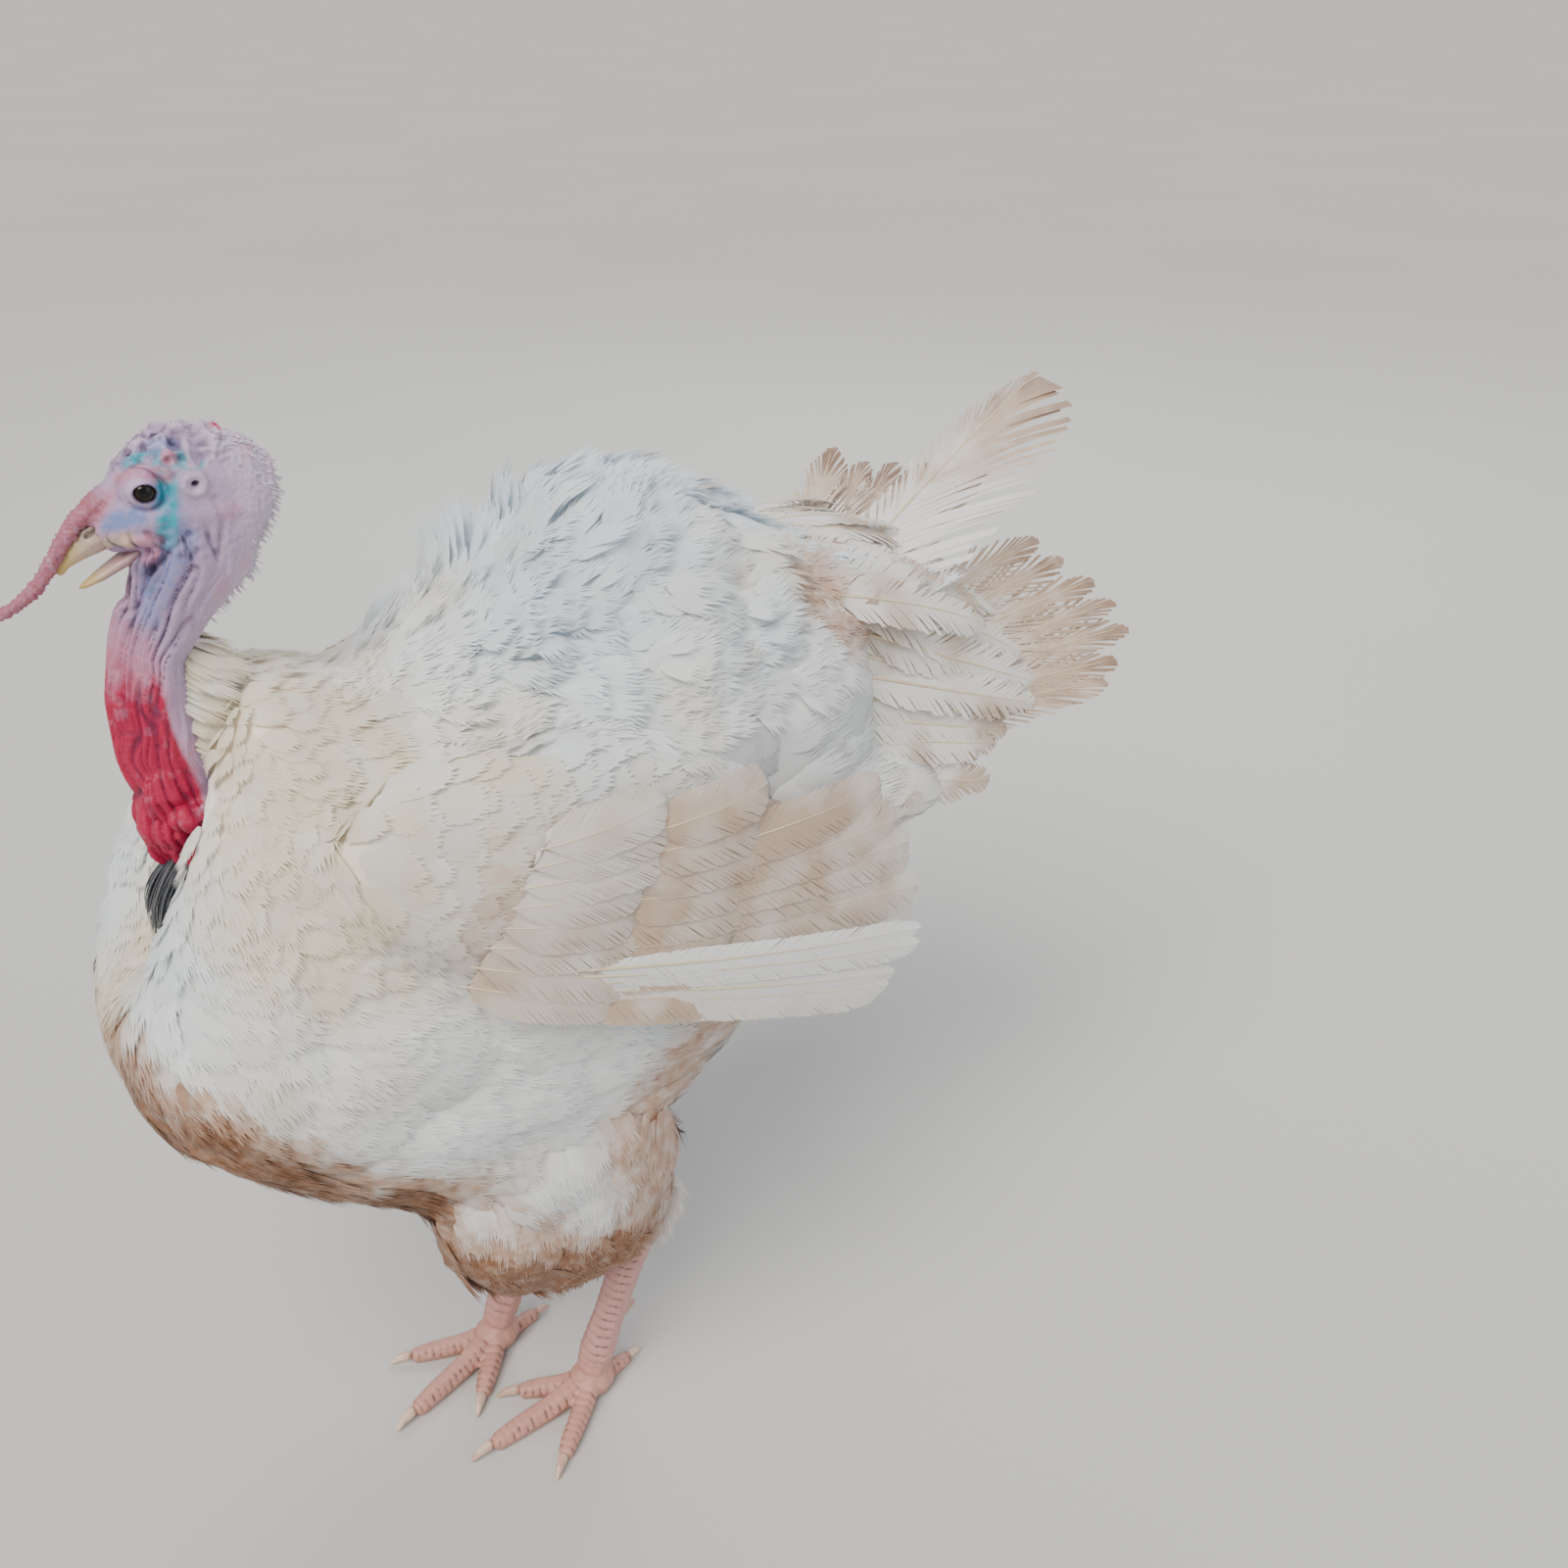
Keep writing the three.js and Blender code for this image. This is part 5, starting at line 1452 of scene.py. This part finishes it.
def flight_feather(root, tip, face, bow, halves, draw, splits, barbs, tip_round, worn=0.05, spikes=0.0,
                   quill=1.0, lean=1.2, blunt=2.2):
    """One quilled feather as points, triangles, slots and values. The pairs are for the vane's two halves.

    Spikes is the share of the length over which the last barbs run forward along the shaft, lean is how far
    each barb runs forward for its reach sideways, and a tip is the more pointed the less blunt is.
    """
    root, tip, face = (np.asarray(v, float) for v in (root, tip, face))
    face = unit(face)
    chord = tip - root
    length = np.linalg.norm(chord)

    def frame_at(s):
        s = np.atleast_1d(s)[:, None]
        middle = root + chord * s + face * bow * 4 * s * (1 - s)
        run = unit(chord + face * bow * 4 * (1 - 2 * s))
        side = unit(np.cross(np.broadcast_to(face, run.shape), run))
        return middle, side, unit(np.cross(run, side))

    across = np.array([0.0, 0.35, 0.7, 1.0])
    s_all, w_all, droop_all, barb_value, triangles, slots = [], [], [], [], [], []
    total = 0
    for sign, half, split, count in zip((1, -1), halves, splits, barbs):
        u = np.linspace(0, 1, count + 1)
        margin = 0.05 + 0.95 * u**0.9
        tipped = np.clip((margin - tip_round) / (1 - tip_round), 0, 1)
        wide = half * (0.5 + 0.5 * ease(margin, 0.0, 0.3)) * np.sqrt(np.clip(1 - tipped**blunt, 0, 1))
        rachis = margin - (wide * lean / length) - 0.02 * u - spikes * u**3
        rachis = np.clip(rachis, 0.0, 0.975 - 0.6 * spikes)
        middle_u = (u[:-1] + u[1:]) / 2
        loose = draw.uniform(size=count) < split * (0.35 + 1.3 * ease(middle_u, 0.35, 0.85))
        gap = np.where(loose, draw.uniform(0.45, 1.0, count), 0.0)
        level = draw.uniform(-0.5, 0.5, count) * np.where(loose, 1.6, 0.35)
        reach = 1 + draw.uniform(-1, 0.6, count) * worn * (0.4 + 1.2 * middle_u) - 0.06 * gap
        centre = (margin[:-1] + margin[1:]) / 2
        for edge in (0, 1):
            e = np.arange(count) + edge
            squeeze = (centre - margin[e])[:, None] * (0.06 + 0.8 * gap)[:, None] * across**1.6
            s = rachis[e][:, None] + (margin[e] - rachis[e])[:, None] * across**0.9 + squeeze
            s_all.append(s)
            w_all.append(sign * wide[e][:, None] * across * np.where(across > 0.5, reach[:, None], 1))
            droop_all.append(-0.10 * half * across**2 + level[:, None] * across)
            barb_value.append(np.repeat(u[e][:, None] * count * 2.0, len(across), axis=1))
        n = len(across)
        near_edge = total + np.arange(count)[:, None] * n + np.arange(n - 1)[None]
        far_edge = near_edge + count * n
        quads = np.stack([near_edge, near_edge + 1, far_edge + 1, far_edge], axis=-1).reshape(-1, 4)
        if sign < 0:
            quads = quads[:, ::-1]
        triangles.append(np.concatenate([quads[:, [0, 1, 2]], quads[:, [0, 2, 3]]]))
        slots.append(np.zeros(len(quads) * 2, int))
        total += 2 * count * n
    s_flat = np.concatenate([s.ravel() for s in s_all])
    w_flat = np.concatenate([w.ravel() for w in w_all])
    droop = np.concatenate([d.ravel() for d in droop_all])
    middle, side, up = frame_at(s_flat)
    points = [middle + side * w_flat[:, None] + up * droop[:, None]]
    rings = np.linspace(-0.03, 0.975 - 0.4 * spikes, 14)
    middle, side, up = frame_at(rings)
    thick = np.interp(rings, [-0.04, 0.3, 1.0], [1.9, 1.4, 0.25]) * (length / 300) ** 0.6 * quill
    for corner in range(6):
        a = corner * math.pi / 3
        points.append(middle + (side * math.cos(a) + up * (math.sin(a) * 0.8 + 0.3)) * thick[:, None])
        b = total + corner * len(rings) + np.arange(len(rings) - 1)
        c = total + (corner + 1) % 6 * len(rings) + np.arange(len(rings) - 1)
        triangles += [np.stack([b, c, c + 1], axis=1), np.stack([b, c + 1, b + 1], axis=1)]
        slots += [np.ones(len(b) * 2, int)]
    shaft = 6 * len(rings)
    return {
        "points": np.concatenate(points),
        "triangles": np.concatenate(triangles),
        "slots": np.concatenate(slots),
        "barb": np.concatenate([b.ravel() for b in barb_value] + [np.zeros(shaft)]),
        "along": np.concatenate([s_flat, np.tile(rings, 6)]),
    }


def feather_piece(name, feathers, node, draw):
    """Joins quilled feathers into one piece, each a little lighter or darker than its neighbours."""
    values = {key: [] for key in ("points", "triangles", "slots", "barb", "tan", "cream_tone_and_painted_shade", "dirt", "tint")}
    count = 0
    for feather in feathers:
        n = len(feather["points"])
        feather["triangles"] = feather["triangles"] + count
        feather["tint"] = 1 - 0.07 * draw.uniform()
        count += n
        for key, kept in values.items():
            value = feather.get(key, 0.0)
            kept.append(value if np.ndim(value) else np.full(n, value))
    values = {key: np.concatenate(kept) for key, kept in values.items()}
    points, triangles, slots = (values.pop(key) for key in ("points", "triangles", "slots"))
    piece = mesh_of(name, points, triangles, values, None, [KERATIN_VANE, KERATIN_SHAFT], slots)
    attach(piece, "root")
    if node:
        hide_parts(node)


def mixed(a, b, t):
    """From a to b, t of the way."""
    return np.asarray(a, float) * (1 - t) + np.asarray(b, float) * t


WING_ROWS = {
    # roots and tips of the first and last feather, how far the arc of tips bulges, the arch of a feather, the
    # way its face looks, half-widths, how much tan the first and last have, the step outward to the next one
    "secondaries": dict(
        count=7, roots=[(140, 70, 474), (150, 24, 432)], tips=[(113, 220, 466), (133, 240, 386)], sag=8,
        bow=12, face=(1, 0, 0.25), halves=(13, 17), stain=(1.0, 0.65), step=-2.2),
    "primaries": dict(
        count=6, roots=[(151, 20, 428), (152, 8, 408)], tips=[(137, 234, 374), (147, 208, 336)], sag=4,
        bow=8, face=(1, 0, 0.1), halves=(8, 10), stain=(0.0, 0.35), step=-1.3),
    "greater": dict(
        count=8, roots=[(146, 60, 494), (146, 0, 414)], tips=[(143, 128, 502), (155, 92, 388)], sag=8,
        bow=7, face=(1, 0, 0.2), halves=(15, 16), stain=(0.9, 1.0), step=-0.9),
    "middle": dict(
        count=8, roots=[(145, 4, 500), (143, -40, 430)], tips=[(148, 68, 510), (154, 36, 402)], sag=6,
        bow=7, face=(1, 0, 0.2), halves=(15, 15), stain=(0.5, 0.8), step=-0.7),
}
FAR_DROP = 24.0  # how much lower the far shoulder's coverts start


def make_wing_row(row, side, draw):
    """A row of big feathers on a wing, each lapping over the one below it."""
    plan = WING_ROWS[row]
    mirror = np.array([SIDES[side], 1, 1])
    feathers = []
    for k in range(plan["count"]):
        t = k / (plan["count"] - 1)
        root = mixed(*plan["roots"], t)
        tip = mixed(*plan["tips"], t)
        tip += np.array([0, plan["sag"] * 4 * t * (1 - t), 0]) + draw.uniform(-1, 1, 3) * (1, 6, 5)
        if side == "right" and row in ("greater", "middle"):
            root[2] -= FAR_DROP * (1 - t)
            tip[2] -= FAR_DROP * (1 - t)
        step = np.array([plan["step"] * (k - plan["count"] / 2), 0, 0])
        halves = plan["halves"] if side == "left" else plan["halves"][::-1]
        feather = flight_feather(
            (root + step) * mirror, (tip + step) * mirror, np.array(plan["face"]) * mirror, plan["bow"],
            halves, draw, splits=(0.04, 0.04), barbs=(44, 44), tip_round=0.82, quill=0.6,
        )
        stain = mixed(*plan["stain"], t)
        blotches = 0.55 + 0.45 * ease(noise(feather["points"], 18, 71), -0.6, 0.5)
        feather["tan"] = np.clip(stain * blotches * (0.7 + 0.3 * ease(feather["along"], 0.98, 0.75)), 0, 1)
        feather["cream_tone_and_painted_shade"] = 0.3 * stain
        feathers.append(feather)
    node = f"{row}_{side}" if f"{row}_{side}" in NODES else None
    feather_piece(f"{row}_vanes_{side}", feathers, node, draw)


TAIL_FANS = {
    # face, halves, splits and barbs of the vanes, how early the tip rounds off, how far barbs run forward,
    # how brown the end is, and for each feather: its turn to the bird's left of straight back, its rise, its
    # share of the full length and how much lower it is rooted
    "tail_left": dict(
        face=(0.62, 0, 0.78), halves=(23, 23), splits=(0.7, 0.7), barbs=(40, 40), round=0.45, lean=2.3,
        brown=0.6, feathers=[
            (9, 3, 0.80, 64), (6, 3.5, 0.85, 60), (1, 4, 0.93, 54), (-2, 5.5, 0.93, 49), (-5, 7.5, 0.90, 45),
            (-9, 9.5, 0.86, 40), (-13, 11, 0.83, 34)]),
    "tail_middle": dict(
        face=(0.25, -0.3, 0.9), halves=(22, 60), splits=(0.8, 0.95), barbs=(66, 30), round=0.72, lean=1.5,
        brown=0.6, feathers=[(-21, 22, 1.03, 0)]),
    # The far fan's ends are browner than the others': partly stain, partly painted shade on that half of the
    # tail, which lies in shade.
    "tail_right": dict(
        face=(0.05, -0.1, 1), halves=(23, 23), splits=(0.7, 0.7), barbs=(40, 40), round=0.45, lean=2.3,
        brown=0.9, feathers=[
            (-22, 19, 0.80, 16), (-26, 20, 0.78, 16), (-31, 21.5, 0.74, 16), (-36, 23, 0.70, 16),
            (-41, 25.5, 0.65, 16), (-47, 31, 0.62, 16)]),
}


def tail_run(turn, rise):
    """The way of a tail feather that is turned and raised by these degrees."""
    a, e = math.radians(turn), math.radians(rise)
    return np.array([math.sin(a) * math.cos(e), math.cos(a) * math.cos(e), math.sin(e)])


def make_tail_fan(name, draw):
    """The big quilled feathers of one part of the tail, with frayed brown ends."""
    plan = TAIL_FANS[name]
    feathers = []
    for k, (turn, rise, share, drop) in enumerate(plan["feathers"]):
        run = tail_run(turn, rise)
        base = TAIL_ROOT + np.array([0.2, -0.2, -1.0]) * drop
        base = base + unit(np.array(plan["face"], float)) * (k - len(plan["feathers"]) / 2) * 1.4
        feather = flight_feather(
            base + run * QUILL_SUNK, base + run * TAIL_LENGTH * share, plan["face"], 7, plan["halves"], draw,
            splits=plan["splits"], barbs=plan["barbs"], tip_round=plan["round"], worn=0.16,
            spikes=0.10, quill=0.8, lean=plan["lean"], blunt=1.25,
        )
        places = feather["points"]
        outward = feather["along"] + noise(places, 16, 72) * 0.12 + noise(places, 7, 73) * 0.05
        tan = 0.9 * ease(outward, 0.4, 0.78) + 0.5 * ease(noise(places, 20, 74), 0.3, 0.8)
        feather["tan"] = np.clip(tan, 0, 1)
        feather["dirt"] = plan["brown"] * ease(outward, 0.78, 0.95)
        feather["cream_tone_and_painted_shade"] = 0.2
        feathers.append(feather)
    feather_piece(name + "_vanes", feathers, name, draw)


TAIL_COVERTS = {
    # roots, turns and rises of the first and last, reach from the tail's root, how the row is humped
    "coverts_long": dict(
        count=11, roots=[(50, 236, 548), (-64, 228, 556)], turns=(14, -44), rises=(-15, 13), reach=176,
        half=16, hump=14),
    "coverts_short": dict(
        count=10, roots=[(56, 214, 560), (-60, 208, 566)], turns=(22, -42), rises=(2, 26), reach=128,
        half=16, hump=16),
    "coverts_side": dict(
        count=8, roots=[(46, 240, 530), (42, 238, 430)], turns=(16, 24), rises=(-12, -34), reach=164,
        half=16, hump=0),
    "coverts_far_side": dict(
        count=9, roots=[(-52, 232, 548), (-42, 238, 440)], turns=(-38, -20), rises=(18, -26), reach=160,
        half=17, hump=0),
}


def make_tail_coverts(name, draw):
    """Feathers that hide the roots of the tail, softer than its quills and blotched with tan."""
    plan = TAIL_COVERTS[name]
    feathers = []
    for k in range(plan["count"]):
        t = k / (plan["count"] - 1)
        root = mixed(*plan["roots"], t) + np.array([0, 0, plan["hump"] * 4 * t * (1 - t)])
        turn = mixed(*plan["turns"], t) + draw.uniform(-2, 2)
        rise = mixed(*plan["rises"], t) + draw.uniform(-2, 2)
        tip = TAIL_ROOT + tail_run(turn, rise) * plan["reach"] * draw.uniform(0.9, 1.08)
        if plan["hump"]:
            face = unit(mixed((0.75, 0, 0.66), (-0.35, 0, 0.93), t))
        else:
            face = np.array([0.95 if name == "coverts_side" else -0.95, -0.2, 0.3])
        feather = flight_feather(
            root, tip, face, 9, (plan["half"], plan["half"]), draw, splits=(0.5, 0.5), barbs=(34, 34),
            tip_round=0.5, worn=0.14,
        )
        blotches = ease(noise(feather["points"], 24, 75), -0.1, 0.5)
        feather["tan"] = blotches * 0.85 * (0.5 + 0.5 * ease(feather["along"], 0.2, 0.8))
        feather["cream_tone_and_painted_shade"] = 0.3
        feathers.append(feather)
    feather_piece(f"tail_{name}", feathers, None, draw)


# ---------------------------------------------------------------- bristles


def strands(name, roots, tips, bows, radius, material, tint, rings, node=None):
    """Thin tapering three-sided strands as one piece, each from a root to a tip over a bow."""
    sides = 3
    t = np.linspace(0, 1, rings)
    line = roots[:, None] * (1 - t)[None, :, None] + tips[:, None] * t[None, :, None]
    line = line + bows[:, None] * (4 * t * (1 - t))[None, :, None]
    run = unit(tips - roots)
    side = unit(np.cross(run, np.array([0.3, 0.2, 0.9])))
    other = np.cross(run, side)
    taper = radius[:, None] * (1 - 0.85 * t**1.5)[None, :]
    angles = np.arange(sides) * 2 * math.pi / sides
    ring = side[:, None, None] * np.cos(angles)[None, None, :, None]
    ring = ring + other[:, None, None] * np.sin(angles)[None, None, :, None]
    points = line[:, :, None] + ring * taper[:, :, None, None]
    triangles = []
    for r in range(rings - 1):
        for c in range(sides):
            a, b = r * sides + c, r * sides + (c + 1) % sides
            triangles += [(a, b, b + sides), (a, b + sides, a + sides)]
    last = (rings - 1) * sides
    triangles.append((last, last + 1, last + 2))
    per = rings * sides
    all_triangles = (np.array(triangles)[None] + (np.arange(len(roots)) * per)[:, None, None]).reshape(-1, 3)
    values = {"tint": np.repeat(tint, per), "pale": np.ones(len(roots) * per)}
    piece = mesh_of(name, points.reshape(-1, 3), all_triangles, values, None, [material])
    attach(piece, "root")
    if node:
        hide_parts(node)


def make_beard(draw):
    """The tassel of black bristles on the breast, hanging just under the wattles."""
    count = 420
    spin, out = draw.uniform(0, 2 * math.pi, count), np.sqrt(draw.uniform(0, 1, count))
    fan = np.c_[np.cos(spin) * out, np.sin(spin) * out * 0.7, np.zeros(count)]
    roots = np.array([4, -141, 467]) + fan * 10
    tips = np.array([4, -159, 424]) + fan * (17, 9, 0)
    tips[:, 2] += draw.uniform(-3, 16, count)
    bows = np.array([0, -4.0, 0]) + draw.uniform(-1, 1, (count, 3)) * (2.4, 1.6, 0.4)
    strands("beard_bristles", roots, tips, bows, draw.uniform(0.45, 0.8, count), BEARD_BRISTLE,
            draw.uniform(0, 1, count), 9, node="beard")


def make_nape_bristles(skin, draw):
    """Stumps of hair-like feathers on the crown's back and down the nape."""
    mesh = skin.data
    points, normals = points_of(mesh), normals_of(mesh)
    _, angle, away = neck_frame(points)
    chance = ease(np.abs(angle), 2.2, 3.0) * ease(points[:, 2], 586, 606) * ease(away, 44, 38)
    chance = chance * (points[:, 2] > 588) * (points[:, 1] > -112)
    pick = draw.choice(len(points), size=420, replace=False, p=chance / chance.sum())
    roots, out = points[pick] - normals[pick] * 0.4, normals[pick]
    reach = draw.uniform(1.0, 3.4, len(pick))[:, None]
    tips = roots + (out + np.array([0, 0.3, -0.75]) + draw.uniform(-0.25, 0.25, out.shape)) * reach
    strands("nape_bristles", roots, tips, out * 0.25, draw.uniform(0.45, 0.85, len(pick)), BARE_SKIN,
            draw.uniform(0.85, 1, len(pick)), 3)


# ---------------------------------------------------------------- studio


FLOOR_HALF = 60.0  # metres from the bird to the floor's edge


def aim(made, look):
    """Turns a lamp or camera so that it looks along a line."""
    made.rotation_euler = Vector(look).to_track_quat("-Z", "Y").to_euler()


def make_floor():
    """A floor wide enough to fill the view."""
    mesh = bpy.data.meshes.new("studio_floor")
    corners = [(x * FLOOR_HALF, y * FLOOR_HALF, 0) for x, y in ((-1, -1), (1, -1), (1, 1), (-1, 1))]
    mesh.from_pydata(corners, [], [(0, 1, 2, 3)])
    mesh.materials.append(floor_paint())
    new_object("studio_floor", mesh)


def add_light(name, kind, place, power, colour):
    """A lamp that shines on the middle of the bird from a place in metres."""
    lamp = bpy.data.lights.new(name, kind)
    lamp.energy = power
    lamp.color = linear(colour)[:3]
    made = new_object(name, lamp)
    aim(made, Vector((0, 0, 0.4)) - Vector(place))
    return made


def add_softbox(name, place, size, power, colour):
    """A round soft lamp, size across in metres."""
    made = add_light(name, "AREA", place, power, colour)
    made.location = place
    made.data.shape = "DISK"
    made.data.size = size


def make_studio():
    """Broad even light from high before the bird, a weaker fill, a rim from behind and a pale surround."""
    sky = add_light("key_skylight", "SUN", (1.35, -1.5, 2.9), 3.8, "#fffaf3")
    sky.data.angle = math.radians(38)
    add_softbox("fill_softbox", (2.4, 1.6, 1.6), 2.2, 14, "#f1f6ff")
    add_softbox("back_softbox", (-1.8, 1.4, 2.4), 1.6, 40, "#f3f7ff")
    world = bpy.data.worlds.new("studio_surround")
    bpy.context.scene.world = world
    world.use_nodes = True
    world.node_tree.nodes["Background"].inputs[0].default_value = linear("#e8ebef")
    world.node_tree.nodes["Background"].inputs[1].default_value = 0.6


def make_camera():
    """Stands before the bird's left side at head height and looks down on it."""
    camera = new_object("camera", bpy.data.cameras.new("camera"))
    camera.data.sensor_width = 36.0
    camera.data.lens = 36.1
    camera.location = to_frame((775, -224, 885))
    aim(camera, (-0.7646, 0.4415, -0.4695))
    bpy.context.scene.camera = camera


# ---------------------------------------------------------------- the whole bird

KERATIN_PLUME = keratin_plume()
KERATIN_VANE = keratin_vane()
KERATIN_SHAFT = keratin_shaft()
BARE_SKIN = bare_skin()
COATED_SKIN = coated_skin()
LEG_SCALES = leg_scales()
BILL_HORN = horn("bill_horn_grown", "#a98f84", "#cdb9a4", "#cbb06a", 4)
CLAW_HORN = horn("claw_horn_worn", "#b58f80", "#cfae9a", "#d8bfa8", 5)
LIVING_EYE = living_eye()
BEARD_BRISTLE = beard_bristle()

make_camera()
make_studio()
make_floor()

BARE_TREE = surface_tree(HEAD_FLESH + EYES)
TREES = {group: surface_tree(nodes) for group, nodes in FLESH.items()}
body = coated_body()
skin = make_skin(body)
make_coat(body)
bpy.data.objects.remove(body)

for side in SIDES:
    make_eye(side)
    make_claws(side)
make_bill("bill_horn_upper", "bill_upper", -169, -155)
make_bill("bill_horn_lower", "bill_lower", -163, -146)

chance = np.random.default_rng(29)
for side in SIDES:
    for row in WING_ROWS:
        make_wing_row(row, side, chance)
for fan in TAIL_FANS:
    make_tail_fan(fan, chance)
for row in TAIL_COVERTS:
    make_tail_coverts(row, chance)
make_beard(chance)
make_nape_bristles(skin, chance)
